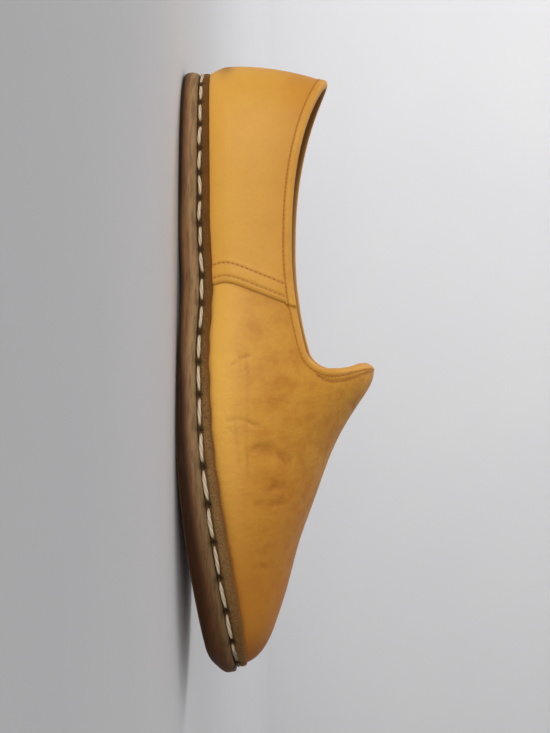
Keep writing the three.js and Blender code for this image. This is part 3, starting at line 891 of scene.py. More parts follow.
# Tones of the leather. Burnishing with painted shade at the foot by the welt, a painted shadow in front of
# the lap, painted shade in the dent along the throat's second row, burnishing with painted shade at the toe
# tip, a deeper ochre towards the toe that is partly the leather's own tone and partly painted shade, and
# painted light as a lighter band
# over the foot. FLEX: where it wrinkles. Pairs are places along X where a tone starts and is full.
FOOT_BURNISH_AND_SHADE = 0.5
BURNISH_AND_SHADE_HEIGHT = 0.8
LAP_SHADOW = 0.12
LAP_SHADE = 0.5
LAP_MARGIN = 0.02
# Painted shade along the dent of the throat's second row
THROAT_ROW_SHADE = 0.4
TIP_BURNISH_AND_SHADE = 0.42
TIP_X = (114, 134)
TOE_TONE_AND_SHADE = 0.62
TOE_TONE_AND_SHADE_X = (-5, 130)
PAINTED_LIGHT_VAMP = 0.95
PAINTED_LIGHT_HEIGHT = 14.0
PAINTED_LIGHT_FADE = 0.7
PAINTED_LIGHT_FADE_X = (20, 110)
FLEX_START_X = (-25, 15)
FLEX_END_X = (50, 100)
STITCH_DENT = 0.22
STITCH_DENT_WIDTH = 0.8
ROW_THINNING = 3
LINING_GAP = 0.05


# Burnishing with painted shade at the foot of the upper, where it meets the welt.
def foot_burnish_and_shade(above):
    return FOOT_BURNISH_AND_SHADE * np.exp(-above / BURNISH_AND_SHADE_HEIGHT)


def make_vamp(path, finish):
    """Outer leather of the upper, with its creases, from the lap's front edge to the toe and under the lap,
    drawn in along the second row of stitches at the throat."""
    row = rib(*throat_row(path))[::ROW_THINNING]

    def marks(t, w, side):
        out, crease = relief(t, w, side)
        place = rib(t, np.maximum(w, 0), side)
        x = place[..., 0]
        above = place[..., 2] - welt_top(t)
        at_row = bell(nearest_on(row, place)[0], STITCH_DENT_WIDTH)
        edge = collar_w(np.minimum(t, THROAT_T), side)
        share = np.clip(np.maximum(w, 0) / np.maximum(edge, 1e-6), 0, 1)
        ahead = np.maximum(x_of(t) - lap_x(share), 0)
        # painted shadow on the vamp in front of the lap's edge
        lap = LAP_SHADOW * np.exp(-ahead / LAP_SHADE) * (w < edge + LAP_MARGIN)
        # burnishing with painted shade at the toe tip, where it turns away from the light
        tip = TIP_BURNISH_AND_SHADE * between(x, *TIP_X)
        tones = {
            "crease": crease,
            # burnishing with painted shade and shadow: foot, lap, throat row and toe tip
            "burnish": np.max([foot_burnish_and_shade(above), lap, THROAT_ROW_SHADE * at_row, tip], axis=0),
            # deeper ochre towards the toe: partly the leather's own tone, partly painted shade
            "toe": TOE_TONE_AND_SHADE * between(x, *TOE_TONE_AND_SHADE_X),
            "flex": between(x, *FLEX_START_X) * (1 - between(x, *FLEX_END_X)),
            # painted light: a lighter band over the foot, fading towards the toe
            "pale": PAINTED_LIGHT_VAMP * bell(above, PAINTED_LIGHT_HEIGHT) * (1 - PAINTED_LIGHT_FADE * between(x, *PAINTED_LIGHT_FADE_X)),
        }
        return out - STITCH_DENT * at_row, tones

    shell = hollow_wall(UPPER_STEPS, 0.0, LINING - WALL + LINING_GAP, marks)
    add_piece(shell, "vamp", finish, "upper_leather", "upper")


# Darkening of the lining at the heel. Pairs are the middle and the width of a bell curve.
LINING_HEEL_DARK = 0.6
LINING_HEEL_DARK_X = (-125, 30)
LINING_HEEL_DARK_Z = (45, 18)


def make_lining(finish):
    """Lining leather on the inside of the wall, darker at the heel."""

    def marks(t, w, side):
        place = rib(t, np.maximum(w, 0), side)
        heel = bell_at(place[..., 0], LINING_HEEL_DARK_X) * bell_at(place[..., 2], LINING_HEEL_DARK_Z)
        # darker at the heel
        return np.zeros(heel.shape), {"wear": LINING_HEEL_DARK * heel}

    shell = hollow_wall(LINING_STEPS, LINING - WALL, -WALL, marks)
    add_piece(shell, "lining", finish, "insole_leather", "upper")


# Quarter: its rows of stitches behind the lap edge, the doubled leather there, its thinned edge and its tones
LAP_ROWS = (3.0, 8.8)
LAP_THREADS = (0.36, 0.5)
LAP_COLUMNS = np.concatenate([np.linspace(0, 1.2, 7), np.linspace(1.5, 11.5, 34), np.linspace(12.5, 20, 7)])
LAP_LENGTH = 34.0
QUARTER_TOP = 2.9
QUARTER_SHARE = 1 - QUARTER_TOP / LAP_LENGTH
QUARTER_ROWS = 60
HEEL_COLUMNS = 70
DOUBLE_RISE = 0.35
DOUBLE_FADE = 2.6
EDGE_THINNING = 1.15
EDGE_THIN_RUN = 1.05
EDGE_BURNISH = 0.3
EDGE_BURNISH_RUN = 0.6
# Painted shade along the dents of both lap rows
LAP_ROW_SHADE = 0.28
LAP_ROW_WIDTH = 0.7
SMUDGE = 0.65
SMUDGE_DEPTH = 5
SMUDGE_HEIGHT = (7.5, 3.5)
PAINTED_LIGHT_QUARTER = 0.24
# Painted shade towards the top of the quarter, carried on the toe mark
COLLAR_SHADE = 0.34
COLLAR_SHADE_HEIGHT = (20, 45)
CUT_BURNISH = {"foot": 0.8, "top": 0.6, "front": 0.3}


def doubled(behind):
    """Rise of the doubled leather, which ends past the second row of stitches."""
    return DOUBLE_RISE * (1 - between(behind, LAP_ROWS[1], LAP_ROWS[1] + DOUBLE_FADE))


def quarter_level(behind):
    """Outer face of the quarter off the upper's face: thinned at its edge, doubled up to the second row,
    and pulled in by bell-shaped dents along both rows of stitches."""
    thinned = EDGE_THINNING * np.exp(-behind / EDGE_THIN_RUN)
    dents = sum(bell(behind - row, STITCH_DENT_WIDTH) for row in LAP_ROWS)
    return GAP + QUARTER_LEATHER + doubled(behind) - thinned - STITCH_DENT * dents


def quarter_w(t, v, side):
    """The w of the quarter's row v, from its foot to just under the rim."""
    edge = collar_w(t, side)
    probe = 0.05
    step = np.linalg.norm(rib(t, edge, side) - rib(t, edge - probe, side), axis=-1)
    top = edge - probe * QUARTER_TOP / step
    return QUARTER_FOOT + v * (top - QUARTER_FOOT)


def lap_edge(v):
    """Place along X of the quarter's front edge at its row v, which ends under the rim."""
    return lap_x(v * QUARTER_SHARE)


def make_quarter(finish):
    """Second leather round the heel: columns at fixed distances behind the lap edge, then even ones."""
    shell = Shell()
    v = np.linspace(0, 1, QUARTER_ROWS + 1)
    for side in SIDES:
        turned = side == LATERAL
        near_t = t_of(lap_edge(v) - LAP_COLUMNS[:, None])
        heel_t = near_t[-1] * np.linspace(1, 0, HEEL_COLUMNS + 1)[1:, None]
        t = np.concatenate([near_t, heel_t])
        w = quarter_w(t, v, side)
        behind = lap_edge(v) - x_of(t)
        place = rib(t, w, side)
        above = place[..., 2] - welt_top(t)
        edge = EDGE_BURNISH * np.exp(-behind / EDGE_BURNISH_RUN)
        # painted shade along the dents of both rows of stitches
        rows = LAP_ROW_SHADE * np.max([bell(behind - row, LAP_ROW_WIDTH) for row in LAP_ROWS], axis=0)
        back = place[..., 0].min() - place[..., 0]
        smudge = SMUDGE * bell(back, SMUDGE_DEPTH) * bell_at(above, SMUDGE_HEIGHT)
        tones = {
            "burnish": np.max([foot_burnish_and_shade(above), edge, rows, smudge], axis=0),
            # painted light: a lighter band over the foot
            "pale": PAINTED_LIGHT_QUARTER * bell(above, PAINTED_LIGHT_HEIGHT),
            # painted shade: deeper ochre towards the top of the quarter
            "toe": COLLAR_SHADE * between(above, *COLLAR_SHADE_HEIGHT),
        }
        outside = skin(t, w, side, quarter_level(behind))
        inside = skin(t, w, side, GAP)
        shell.grid(outside, turned, **tones)
        shell.grid(inside, not turned)
        shell.strip(outside[:, 0], inside[:, 0], not turned, burnish=CUT_BURNISH["foot"])
        shell.strip(outside[:, -1], inside[:, -1], turned, burnish=CUT_BURNISH["top"])
        shell.strip(outside[0], inside[0], turned, burnish=CUT_BURNISH["front"])
    add_piece(shell, "quarter", finish, "quarter_leather", "quarter")


# Rim: shares of its full section on quarter and vamp, its row of stitches, and the groove in which it lies
# with its painted shade
EDGE_SAMPLES = 700
RIM_STEPS = 640
RIM_PROFILE_STEPS = 30
QUARTER_RIM = 0.80
VAMP_RIM = 0.62
RIM_CHANGE = 2.0
LAP_SOFT = 0.4
RIM_ROW = 3.7
# Painted shade in the groove of the rim's row of stitches
RIM_GROOVE_SHADE = 0.42
RIM_GROOVE_SHADE_WIDTH = 0.6
CAP_FOLLOW = 0.75

# The rim's section against the edge of the wall, from the inside to the outside, as in the other tables of it
RIM_BACK = {"into": (2.0, -GAP, -GAP, 2.0), "out": (-WALL - 0.02, -WALL - 0.02, 0.04, 0.0)}


def edge_path():
    """Closed path along the wall's top edge from the heel over the outer side, the throat and the inner
    side: places (t, w, side) spaced evenly by arc length, with run, off and into directions."""
    halves = []
    for side in SIDES:
        low_t = THROAT_T * np.sin(np.linspace(0, np.pi / 2, EDGE_SAMPLES))
        high_w = np.linspace(corner_w[side], 1, EDGE_SAMPLES)[1:]
        t = np.concatenate([low_t, throat_t(high_w, side)])
        halves.append((t, np.concatenate([collar_w(low_t, side), high_w])))
    (t_out, w_out), (t_in, w_in) = halves
    t = np.concatenate([t_out, t_in[::-1][1:]])
    w = np.concatenate([w_out, w_in[::-1][1:]])
    side = np.where(np.arange(len(t)) < len(t_out), LATERAL, MEDIAL)
    length = run_length(rib(t, w, side))
    even = np.linspace(0, length[-1], RIM_STEPS + 1)
    t, w = np.interp(even, length, t), np.interp(even, length, w)
    side = np.where(even <= length[len(t_out) - 1], LATERAL, MEDIAL)
    edge = rib(t, w, side)
    run = np.roll(edge[:-1], -1, axis=0) - np.roll(edge[:-1], 1, axis=0)
    run = unit(np.concatenate([run, run[:1]]))
    off = off_face(t, w, side)
    into = unit(np.cross(run, off))
    return {"t": t, "w": w, "side": side, "edge": edge, "off": off, "into": into, "s": even}


def rim_share(path):
    """Share of the full section that the rim has: wide on the quarter, narrow on the vamp."""
    change = between(x_of(path["t"]), lap_x(1.0) - RIM_CHANGE, lap_x(1.0) + RIM_CHANGE)
    return QUARTER_RIM + (VAMP_RIM - QUARTER_RIM) * change


def rim_base(path, into):
    """Level of the leather under the rim: the quarter behind the lap edge, the vamp in front of it."""
    behind = lap_x(1 - into / LAP_LENGTH) - x_of(path["t"])[:, None]
    return (GAP + QUARTER_LEATHER + doubled(behind)) * between(behind, -LAP_SOFT, LAP_SOFT)


def on_leather(path, into, out):
    """Points at distances into the leather from the path and heights off the upper's face."""
    t, w, side = (np.broadcast_to(path[name][:, None], into.shape) for name in ("t", "w", "side"))
    target = path["edge"][:, None] + path["into"][:, None] * into[..., None]
    t, w = walk(t, w, side, target)
    return skin(t, w, side, out)


def make_rim(path, finish):
    """Turned rim: a section from the leather outside over the wall's edge and down its inside. At the throat
    the section tilts with the leather that rolls in there."""
    knots = np.arange(len(RIM_OUTSIDE["into"]))
    s = np.linspace(0, knots[-1], RIM_PROFILE_STEPS)
    across = spline(knots, RIM_OUTSIDE["into"])(s)
    into = np.where(across > 0, across * rim_share(path)[:, None], across)
    outer = on_leather(path, into, rim_base(path, into) + spline(knots, RIM_OUTSIDE["out"])(s))
    top = rim_base(path, np.zeros((len(path["t"]), 1)))
    cap_in = np.array(RIM_INSIDE["into"])
    cap_out = np.array(RIM_INSIDE["out"])
    cap_out = cap_out + top * CAP_FOLLOW * (1 - ease(-cap_out))
    tilt = throat_drop(path["t"], path["w"], path["side"])[:, None] * THROAT_POWER / THROAT_REACH
    edge = skin(path["t"], path["w"], path["side"], 0.0)[:, None]
    off = unit(path["off"] - tilt * path["into"])[:, None]
    inward = unit(path["into"] + tilt * path["off"])[:, None]
    cap = edge + inward * cap_in[:, None] + off * cap_out[..., None]
    back_in = np.array(RIM_BACK["into"])[:, None]
    back = edge + inward * back_in + off * np.array(RIM_BACK["out"])[:, None]
    section = np.concatenate([outer, cap, back, outer[:, :1]], 1)
    # painted shade in the groove of the rim's row of stitches
    groove = RIM_GROOVE_SHADE * bell(across - RIM_ROW, RIM_GROOVE_SHADE_WIDTH)
    burnish = np.concatenate([groove, np.zeros(len(cap_in) + len(back_in) + 1)])
    lined = np.concatenate([np.zeros(len(across)), RIM_INSIDE["lined"], np.ones(len(back_in)), [0]])
    shell = Shell()
    shell.grid(section, burnish=burnish, lined=lined)
    add_piece(shell, "collar_rim", finish, "rim_leather", "collar_rim")


# Fine stitches. STEP: half the stretch that gives a stitch its direction. LIFT: of the rim's row off the
# leather. ARCH: height of a stitch's middle and fall to its ends, in thicknesses. FLAT: share of its height.
STITCH_RINGS = 8
STITCH_SIDES = 8
FINE_PITCH = 2.05
FINE_LENGTH = 1.5
FINE_THICKNESS = 0.5
FINE_STEP = 0.3
FINE_LIFT = 0.02
FINE_ARCH = (0.42, 0.55)
FINE_FLAT = 0.8
LAP_ROW_ENDS = (0.015, 0.99)
LAP_ROW_POINTS = 120

# Second row of stitches at the throat. GAP: from the first row, in the corner and added between. START:
# place along X. PART, MEET: lengths over which it leaves the first row and comes back to it.
THROAT_ROW_GAP = (0.6, 1.8)
THROAT_ROW_START = -1.5
THROAT_ROW_PART = 7.0
THROAT_ROW_MEET = 26.0


def fine_stitches(shell, path, off, thickness=FINE_THICKNESS):
    """A row of short stitches along a path: capsules that arch over the leather and dip in at their ends."""
    length = run_length(path)
    count = max(int(length[-1] / FINE_PITCH), 2)
    middle = (np.arange(count) + 0.5) * length[-1] / count
    centre = on_line(middle, length, path)
    run = unit(on_line(middle + FINE_STEP, length, path) - on_line(middle - FINE_STEP, length, path))
    up = unit(on_line(middle, length, off))
    across = unit(np.cross(up, run))
    u = np.linspace(-1, 1, STITCH_RINGS + 1)
    turn = np.linspace(0, 2 * np.pi, STITCH_SIDES + 1)
    radius = thickness / 2 * np.sqrt(np.maximum(1 - u ** 4, 0))[:, None]
    lift = (thickness * (FINE_ARCH[0] - FINE_ARCH[1] * u ** 2))[:, None]
    grid = centre[:, None, None] + run[:, None, None] * (u * FINE_LENGTH / 2)[:, None, None]
    grid = grid + up[:, None, None] * (lift + radius * np.cos(turn) * FINE_FLAT)[..., None]
    grid = grid + across[:, None, None] * (radius * np.sin(turn))[..., None]
    shell.grid(grid)


def throat_row(path):
    """Second row of stitches below the throat's rim: parts from the first in each corner, runs beside it and
    closes up to it again on the ridge."""
    near = (x_of(path["t"]) > THROAT_ROW_START) | (instep_share(path["w"], path["side"]) > 0)
    t, w, side, s = (path[name][near] for name in ("t", "w", "side", "s"))
    from_end = np.minimum(s - s[0], s[-1] - s)
    from_ridge = np.abs(s - np.interp(0, side, s))
    apart = ease(from_end / THROAT_ROW_PART) * ease(from_ridge / THROAT_ROW_MEET)
    into = RIM_ROW * VAMP_RIM + THROAT_ROW_GAP[0] + THROAT_ROW_GAP[1] * apart
    target = path["edge"][near] + path["into"][near] * into[:, None]
    return *walk(t, w, side, target), side


def make_seams(path, finish):
    """Fine stitch rows: along the rim inside and out, a second one below the throat, two behind each lap."""
    shell = Shell()
    into = RIM_ROW * rim_share(path)[:, None]
    for out, facing in ((rim_base(path, into) + FINE_LIFT, 1.0), (np.full_like(into, -WALL), -1.0)):
        fine_stitches(shell, on_leather(path, into, out)[:, 0], path["off"] * facing)
    t, w, side = throat_row(path)
    sunk = np.where(side < 0, relief(t, w, LATERAL)[0], relief(t, w, MEDIAL)[0]) - STITCH_DENT
    fine_stitches(shell, skin(t, w, side, sunk), off_face(t, w, side))
    v = np.linspace(*LAP_ROW_ENDS, LAP_ROW_POINTS)
    for side in SIDES:
        for behind, thickness in zip(LAP_ROWS, LAP_THREADS):
            t = t_of(lap_edge(v) - behind)
            w = quarter_w(t, v, side)
            row = skin(t, w, side, quarter_level(np.array(behind)))
            fine_stitches(shell, row, off_face(t, w, side), thickness)
    add_piece(shell, "seam_stitches", finish, "quarter_leather")


# Sole seam. STITCH: lengths with the gap, at the heel and in front of the ball. STITCH_RISE: where along X
# the one passes into the other. NUMBER: of the stitch at the heel's and the toe's middle. SEAM_OUT: share of
# the outsole's edge and what is added to it. SEAM_EDGE: least distance from that edge. TOE_TIP: where along
# X welt and seam are drawn in.
HEEL_STITCH = 11.5
BALL_STITCH = 17.8
STITCH_RISE = (-70, 80)
SIDE_STITCHES = 22
HEEL_NUMBER = -1.5
TOE_NUMBER = HEEL_NUMBER + SIDE_STITCHES
SEAM_OUT = (0.36, 1.2)
SEAM_EDGE = 1.0
SEAM_HEIGHT = 1.25
TOE_TIP = (124, 136)
SEAM_DRAWN = 1.7
RING_SAMPLES = 900
RING_STEPS = 330

# Thread holes, where welt and sole are drawn in and painted shade darkens them. SIZE, STRENGTH: a fixed part
# and a part for each millimetre of stitch. HEIGHT: middle and width over the ledge.
HOLE_SIZE = (0.3, 0.055)
HOLE_STRENGTH = (-0.1, 0.055)
HOLE_HEIGHT = (1.2, 1.5)

# Sole thread. THICKNESS, GAP: a fixed part and a part for each millimetre of stitch. SPREAD: shares of the
# thickness. TILT, SWAY, DIVE: at its ends, in its middle and into the holes. BODY: thinning towards its ends.
# PLY_DEPTH: depth of the hollows between plies; after it, how much darker they turn and from where. Next,
# where along X the toe's stitches turn darker, and by how much.
THREAD_THICKNESS = (1.0, 0.046)
THREAD_SPREAD = (0.92, 1.06)
THREAD_GAP = (0.5, 0.14)
THREAD_RINGS = 44
THREAD_SIDES = 15
THREAD_PLIES = 3
THREAD_LAY = 5.2
THREAD_SEED = 11
THREAD_STEP = 0.4
THREAD_TILT = 0.35
THREAD_SWAY = 0.25
THREAD_DIVE = 1.3
THREAD_BODY = (0.42, 0.36)
PLY_DEPTH = 0.07
PLY_DARKENING = (0.5, 0.15)
TOE_DARKENING_X = (118, 134)
TOE_DARKENING = 0.7


def stitch_pitch(x):
    """Length of a stitch with its gap, longer in front of the arch."""
    return HEEL_STITCH + (BALL_STITCH - HEEL_STITCH) * between(x, *STITCH_RISE)


def seam_line(t, side):
    """The sole seam's line in the groove at the foot of the welt, drawn in at the toe tip."""
    out = np.minimum(SEAM_OUT[0] * edge_width(t) + SEAM_OUT[1], edge_width(t) - SEAM_EDGE)
    out = out - SEAM_DRAWN * between(x_of(t), *TOE_TIP)
    return with_height(foot_line_moved(t, side, out), sole_top(t) + SEAM_HEIGHT)


def seam_count():
    """Arc length and running stitch number along the seam line, from the heel along the outer side to the toe
    and back, with whole numbers at the thread holes: the sum of the run over the stitch length there, fitted
    to a side's number of stitches."""
    t = np.linspace(0, 1, RING_SAMPLES + 1)
    line = np.concatenate([seam_line(t, LATERAL), seam_line(t, MEDIAL)[::-1][1:]])
    length = run_length(line)
    middle = (line[1:, 0] + line[:-1, 0]) / 2
    stitches = np.concatenate([[0], np.cumsum(np.diff(length) / stitch_pitch(middle))])[: len(t)]
    outer = HEEL_NUMBER + SIDE_STITCHES * stitches / stitches[-1]
    count = np.concatenate([outer, (2 * TOE_NUMBER - outer)[::-1][1:]])
    return {"t": t, "line": line, "length": length, "count": count}


def hole_mark(seam, t, above):
    """Mark from 0 to 1 round the thread holes, for places t at a height above the ledge, and the stitch
    number. It is the same on both sides."""
    count = np.interp(t, seam["t"], seam["count"][: len(seam["t"])])
    pitch = stitch_pitch(x_of(t))
    run = (count - np.round(count)) * pitch
    size = HOLE_SIZE[0] + HOLE_SIZE[1] * pitch
    strength = np.clip(HOLE_STRENGTH[0] + HOLE_STRENGTH[1] * pitch, 0, 1)
    return strength * bell(run, size) * bell_at(above, HOLE_HEIGHT), count


def make_thread(seam, finish):
    """Thick stitches of the sole seam: three-ply tubes from hole to hole that thin and dive at their ends."""
    random = np.random.default_rng(THREAD_SEED)
    count, length = seam["count"], seam["length"]
    turns, whole = count[-1] - count[0], length[-1]
    first = int(np.ceil(count[0]))
    holes = np.arange(first, first + int(round(turns)) + 1)
    wrapped = np.interp(holes - turns, count, length) + whole
    places = np.where(holes > count[-1], wrapped, np.interp(holes, count, length))
    start, reach = places[:-1], np.diff(places)
    gap = THREAD_GAP[0] + THREAD_GAP[1] * reach
    u = np.linspace(0, 1, THREAD_RINGS + 1)
    s = (start + gap / 2)[:, None] + u * (reach - gap)[:, None]
    line = on_line(s % whole, length, seam["line"])
    run = unit(on_line((s + THREAD_STEP) % whole, length, seam["line"]) - line)
    out = unit(np.cross(run, np.array([0.0, 0.0, 1.0])))
    up = np.cross(out, run)
    ends = np.abs(2 * u - 1)
    tilt = random.uniform(-THREAD_TILT, THREAD_TILT, len(start))[:, None] * (u - 0.5) * 2
    sway = random.uniform(-THREAD_SWAY, THREAD_SWAY, len(start))[:, None] * np.sin(np.pi * u)
    centre = line + up * (tilt + sway)[..., None] - out * (THREAD_DIVE * ends ** 6)[:, None]
    thick = random.uniform(*THREAD_SPREAD, len(start)) * (THREAD_THICKNESS[0] + THREAD_THICKNESS[1] * reach)
    lay = random.uniform(0, 2 * np.pi, len(start))[:, None, None]
    turn = np.linspace(0, 2 * np.pi, THREAD_SIDES + 1)
    twist = (s - s[:, :1])[..., None] / (THREAD_LAY * THREAD_PLIES)
    ply = np.cos(THREAD_PLIES * (turn - 2 * np.pi * twist) + lay)
    body = (1 - THREAD_BODY[0] * ends ** 2 - THREAD_BODY[1] * ends ** 8)[:, None]
    radius = thick[:, None, None] / 2 * body * (1 + PLY_DEPTH * ply)
    points = centre[:, :, None] + out[:, :, None] * (radius * np.cos(turn))[..., None]
    points = points + up[:, :, None] * (radius * np.sin(turn))[..., None]
    # darker in the hollows between plies, at the ends and towards the toe
    hollow = np.clip(PLY_DARKENING[1] - ply, 0, 1) * PLY_DARKENING[0]
    end_darkening = np.maximum(ends ** 10, TOE_DARKENING * between(line[..., 0], *TOE_DARKENING_X))[..., None]
    shell = Shell()
    shell.grid(points, hollow=hollow, end=end_darkening)
    for cap, turned in ((points[:, 0], True), (points[:, -1], False)):
        middle = np.broadcast_to(cap[:, :-1].mean(1, keepdims=True), cap.shape)
        shell.strip(middle, cap, turned, end=1.0)
    add_piece(shell, "sole_thread", finish, "welt_suede")


# Welt: drawn in at the toe tip and by the thread holes. WAVE: of its upper line and of its lip. LIP: middle
# and width over its height. LEAST: how far out it stays. OVER: added to its height. LINE, GROOVE: shares of
# its height over which the reddish line with painted shade and the painted shade of the groove change.
WELT_DRAWN = 0.5
WELT_HOLE = 1.1
WELT_WAVE = (0.22, 0.25)
WELT_LIP = (0.6, 0.3)
WELT_LEAST = 0.1
WELT_OVER = 0.1
# Reddish dye with painted shade along the welt's upper line
WELT_LINE_DYE_AND_SHADE = (0.72, 0.92)
WELT_GROOVE_SHADE = (0.3, 0.42)
# Strength of the painted shade in the welt's thread holes
WELT_HOLE_SHADE = 1.2


def rows_along(steps, count):
    """Places t of a grid along the foot line, with a number of columns."""
    return np.broadcast_to(np.linspace(0, 1, steps + 1)[:, None], (steps + 1, count))


def make_welt(seam, finish):
    """Suede strip round the foot of the upper: its section carried along the foot line, drawn in at the
    thread holes and with its upper line waving from stitch to stitch."""
    shell = Shell()
    out_share = np.append(WELT_SECTION["out"], WELT_SECTION["out"][0])
    up = np.append(WELT_SECTION["up"], WELT_SECTION["up"][0])
    t = rows_along(RING_STEPS, len(up))
    hole, count = hole_mark(seam, t, up * welt_height(t))
    wave = np.cos(2 * np.pi * count)
    drawn = 1 - WELT_DRAWN * between(x_of(t), *TOE_TIP)
    out = np.maximum(out_share * edge_width(t) * drawn, GAP / 2)
    out = np.maximum(out - WELT_HOLE * hole - WELT_WAVE[1] * bell_at(up, WELT_LIP) * wave, WELT_LEAST)
    z = sole_top(t) + GAP + up * (welt_height(t) - GAP + WELT_OVER) - WELT_WAVE[0] * wave * up ** 3
    tones = {
        # painted shade in the thread holes
        "hole": np.clip(WELT_HOLE_SHADE * hole, 0, 1),
        # reddish dye with painted shade at the join with the upper
        "line": between(up, *WELT_LINE_DYE_AND_SHADE),
        # painted shade in the groove by the thread
        "groove": 1 - between(up, *WELT_GROOVE_SHADE),
        "fore": t,
    }
    for side in SIDES:
        shell.grid(with_height(foot_line_moved(t, side, out), z), side == MEDIAL, **tones)
    add_piece(shell, "welt", finish, "welt_suede", "welt")


# Boards. TUCK: how far the toe's lower edge is worn in, from a place t, up to a share of the thickness.
# FULL: how much of the upper edge's rounding the toe lacks, and between which shares. PRINT: middle and width
# along X of what the ball and the heel darken.
BOARD_ROWS = 16
SOLE_ROWS = 26
INSOLE_ROWS = 10
INSOLE_STEPS = 160
TOE_TUCK = 6.5
TUCK_FROM = 0.86
TUCK_HEIGHT = 0.65
TUCK_POWER = 1.6
TOE_FULL = 0.45
TOE_FULL_UP = (0.7, 0.95)
SOLE_HOLE = 0.5
# Strength of the painted shade in the sole's thread holes
SOLE_HOLE_SHADE = 1.1
TREAD_UP = (0, 0.1)
# Painted shade in the groove by the thread, over these shares of the height
SOLE_GROOVE_SHADE = (0.95, 0.99)
LEDGE = 0.4
SOLE_PRINT = ((25, 45), (-105, 28))
SOLE_PRINT_POWER = 0.7
INSOLE_PRINT = ((45, 40), (-100, 26))
INSOLE_WEAR = 0.6


def sampled(table, steps):
    """A section table as a smooth run of rows."""
    knots = np.arange(len(table["inside"]))
    s = np.linspace(0, knots[-1], steps + 1)
    return spline(knots, table["inside"])(s), np.clip(spline(knots, table["up"])(s), 0, 1)


def board_faces(edges, foot_print):
    """Underside and top of a board in straight rows from its outer to its inner edge, with the print of ball
    and heel as bell curves along X, and a half wave across."""
    share = np.linspace(0, 1, BOARD_ROWS + 1)[:, None]
    for row, turned in ((0, True), (-1, False)):
        face = edges[LATERAL][:, None, row] * (1 - share) + edges[MEDIAL][:, None, row] * share
        along_x = np.max([bell_at(face[..., 0], spot) for spot in foot_print], axis=0)
        yield face, along_x, np.sin(np.pi * share[:, 0]), turned


def make_outsole(seam, finish):
    """Outsole: the smooth section of its side round the edge, its tread and its hidden top."""
    shell = Shell()
    inside, up = sampled(SOLE_SIDE, SOLE_ROWS)
    t = rows_along(RING_STEPS, len(up))
    hole, _ = hole_mark(seam, t, (up - 1) * sole_thickness(t) + LEDGE)
    toe = between(t, TUCK_FROM, 1)
    full = 1 - TOE_FULL * toe * between(up, *TOE_FULL_UP)
    tucked = inside * full + TOE_TUCK * toe * np.maximum(1 - up / TUCK_HEIGHT, 0) ** TUCK_POWER
    tones = {
        # painted shade in the thread holes
        "hole": np.clip(SOLE_HOLE_SHADE * hole, 0, 1),
        "up": up,
        "tread": 1 - between(up, *TREAD_UP),
        # painted shade in the groove by the thread
        "groove": between(up, *SOLE_GROOVE_SHADE),
        "fore": t,
    }
    edges = {}
    for side in SIDES:
        place = foot_line_moved(t, side, edge_width(t) - tucked - SOLE_HOLE * hole)
        low = floor_line(place[..., 0])
        edges[side] = with_height(place, low + (sole_top(t) - low) * up)
        shell.grid(edges[side], side == MEDIAL, **tones)
    for face, printed, across, turned in board_faces(edges, SOLE_PRINT):
        shell.grid(face, turned, tread=1.0, wear=printed * across ** SOLE_PRINT_POWER, up=0.0)
    add_piece(shell, "outsole", finish, "sole_leather", "outsole")


def make_insole(finish):
    """Insole board inside the wall: its rounded side and its top, darker where heel and ball rest."""
    shell = Shell()
    inside, up = sampled(INSOLE_SIDE, INSOLE_ROWS)
    t = rows_along(INSOLE_STEPS, len(up))
    edges = {}
    for side in SIDES:
        place = foot_line_moved(t, side, -WALL - GAP - inside)
        edges[side] = with_height(place, sole_top(t) + GAP + up * INSOLE_THICKNESS)
        shell.grid(edges[side], side == MEDIAL)
    for face, printed, across, turned in board_faces(edges, INSOLE_PRINT):
        shell.grid(face, turned, wear=INSOLE_WEAR * printed * across)
    add_piece(shell, "insole", finish, "insole_leather", "insole")


# Stage: floor that sweeps up into a backdrop, soft lights and the camera
FLOOR_FRONT = -2000.0
FLOOR_BACK = 900.0
SWEEP_RADIUS = 500.0
BACKDROP_TOP = 2200.0
STAGE_HALF_WIDTH = 3000.0
SWEEP_STEPS = 24
SHOE_LIT = (0.0, 0.0, 40.0)
ROOM_TINT = (0.95, 0.96, 0.98, 1.0)
ROOM_LIGHT = 0.24


def make_stage():
    """Pale floor: a flat run, a quarter circle and an upright run, carried along X."""
    finish = Finish("pale_paper")
    tone = finish.coated(colour(226, 225, 226), (finish.noise(160, 2), colour(220, 219, 221)))
    finish.shade(Base_Color=tone, Roughness=0.9, Specular_IOR_Level=0.1)
    turn = np.linspace(0, np.pi / 2, SWEEP_STEPS + 1)
    y = FLOOR_BACK + SWEEP_RADIUS * np.sin(turn)
    y = np.concatenate([[FLOOR_FRONT], y, y[-1:]])
    z = np.concatenate([[0], SWEEP_RADIUS * (1 - np.cos(turn)), [BACKDROP_TOP]])
    x = np.array([-STAGE_HALF_WIDTH, STAGE_HALF_WIDTH])
    shell = Shell()
    shell.grid(np.stack(np.broadcast_arrays(x[:, None], y, z), -1))
    floor = put_in_scene("floor", shell.mesh("floor", FLOOR_SHARP))
    floor.data.materials.append(finish.material)


def aim(thing, place, target, up):
    """Stands a camera or light at a place, looking at a target with a direction upwards in its picture."""
    back = unit(np.array(place, float) - np.array(target, float))
    right = unit(np.cross(up, back))
    turned = np.eye(4)
    turned[:3, :3] = np.stack([right, np.cross(back, right), back], -1)
    turned[:3, 3] = np.array(place, float) * MM
    thing.matrix_world = Matrix(turned.tolist())


def add_light(name, place, target, width, height, watts, tint=(1.0, 1.0, 1.0)):
    """A soft rectangular light, its width level."""
    lamp = bpy.data.lights.new(name, "AREA")
    lamp.shape = "RECTANGLE"
    lamp.size = width * MM
    lamp.size_y = height * MM
    lamp.energy = watts
    lamp.color = tint
    aim(put_in_scene(name, lamp), place, target, (0.0, 0.0, 1.0))


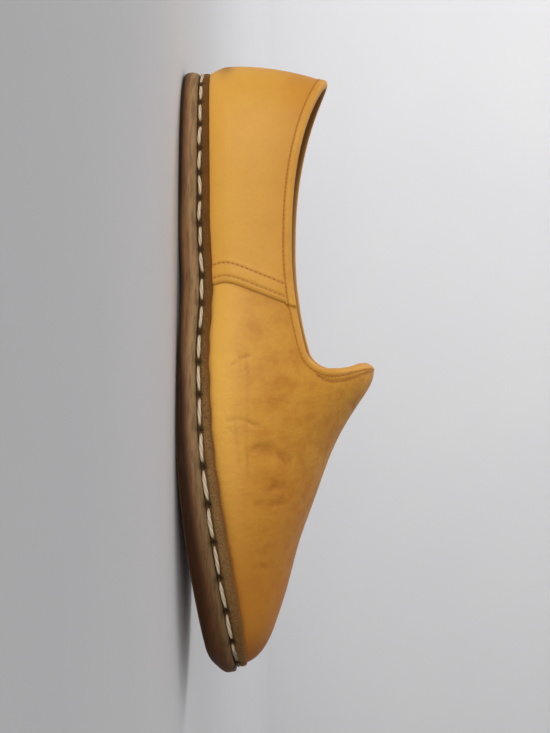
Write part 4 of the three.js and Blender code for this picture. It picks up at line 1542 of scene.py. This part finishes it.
def make_lights():
    """A large, far, soft light at the heel on the camera's side, a weak fill, a top light and one for the
    backdrop, in a dim pale room."""
    add_light("key", (-1584.0, -2266.0, 216.0), SHOE_LIT, 1540, 880, 50.8, (1.0, 0.985, 0.96))
    add_light("fill", (150.0, -1200.0, 250.0), SHOE_LIT, 900, 400, 1.2)
    add_light("top", (-300.0, 100.0, 1400.0), SHOE_LIT, 1000, 1000, 2.2)
    add_light("backdrop", (-750.0, 500.0, 900.0), (-150.0, 1400.0, 100.0), 1200, 500, 8.0)
    world = bpy.data.worlds.new("pale_room")
    world.use_nodes = True
    background = world.node_tree.nodes["Background"]
    background.inputs["Color"].default_value = ROOM_TINT
    background.inputs["Strength"].default_value = ROOM_LIGHT
    bpy.context.scene.world = world
    bpy.context.scene.view_settings.view_transform = "Standard"


# Camera. FOCAL_PIXELS: its focal length in pixels of a picture of that height.
CAMERA_DISTANCE = 800.0
CAMERA_ELEVATION = 4.2
VIEW_AXIS = (-4.33, 0.0, 17.0)
SHOE_MIDDLE = (-2.0, 0.0, 42.0)
IMAGE_HEIGHT = 733
FOCAL_PIXELS = 1720.0
SENSOR = 36.0


def make_camera():
    """Camera on the outer side, a little above the sole, rolled so that the toe points down."""
    lift = math.radians(CAMERA_ELEVATION)
    place = np.array(VIEW_AXIS) + CAMERA_DISTANCE * np.array([0.0, -math.cos(lift), math.sin(lift)])
    data = bpy.data.cameras.new("camera")
    data.sensor_fit = "VERTICAL"
    data.sensor_height = SENSOR
    data.lens = SENSOR * FOCAL_PIXELS / IMAGE_HEIGHT
    camera = put_in_scene("camera", data)
    aim(camera, place, SHOE_MIDDLE, (-1.0, 0.0, 0.0))
    bpy.context.scene.camera = camera


make_camera()
make_lights()
make_stage()
sole_seam = seam_count()
collar_path = edge_path()
make_outsole(sole_seam, sole_leather())
make_welt(sole_seam, welt_suede())
make_thread(sole_seam, waxed_thread())
make_insole(insole_leather())
make_lining(lining_leather())
# The last number of each leather is a share of painted light that makes the whole piece lighter.
make_vamp(collar_path, mustard_leather("vamp_leather", 1.0, 0.0))
make_quarter(mustard_leather("quarter_leather", 0.4, 0.3))
make_rim(collar_path, mustard_leather("rim_leather", 0.5, 0.1))
make_seams(collar_path, seam_thread())
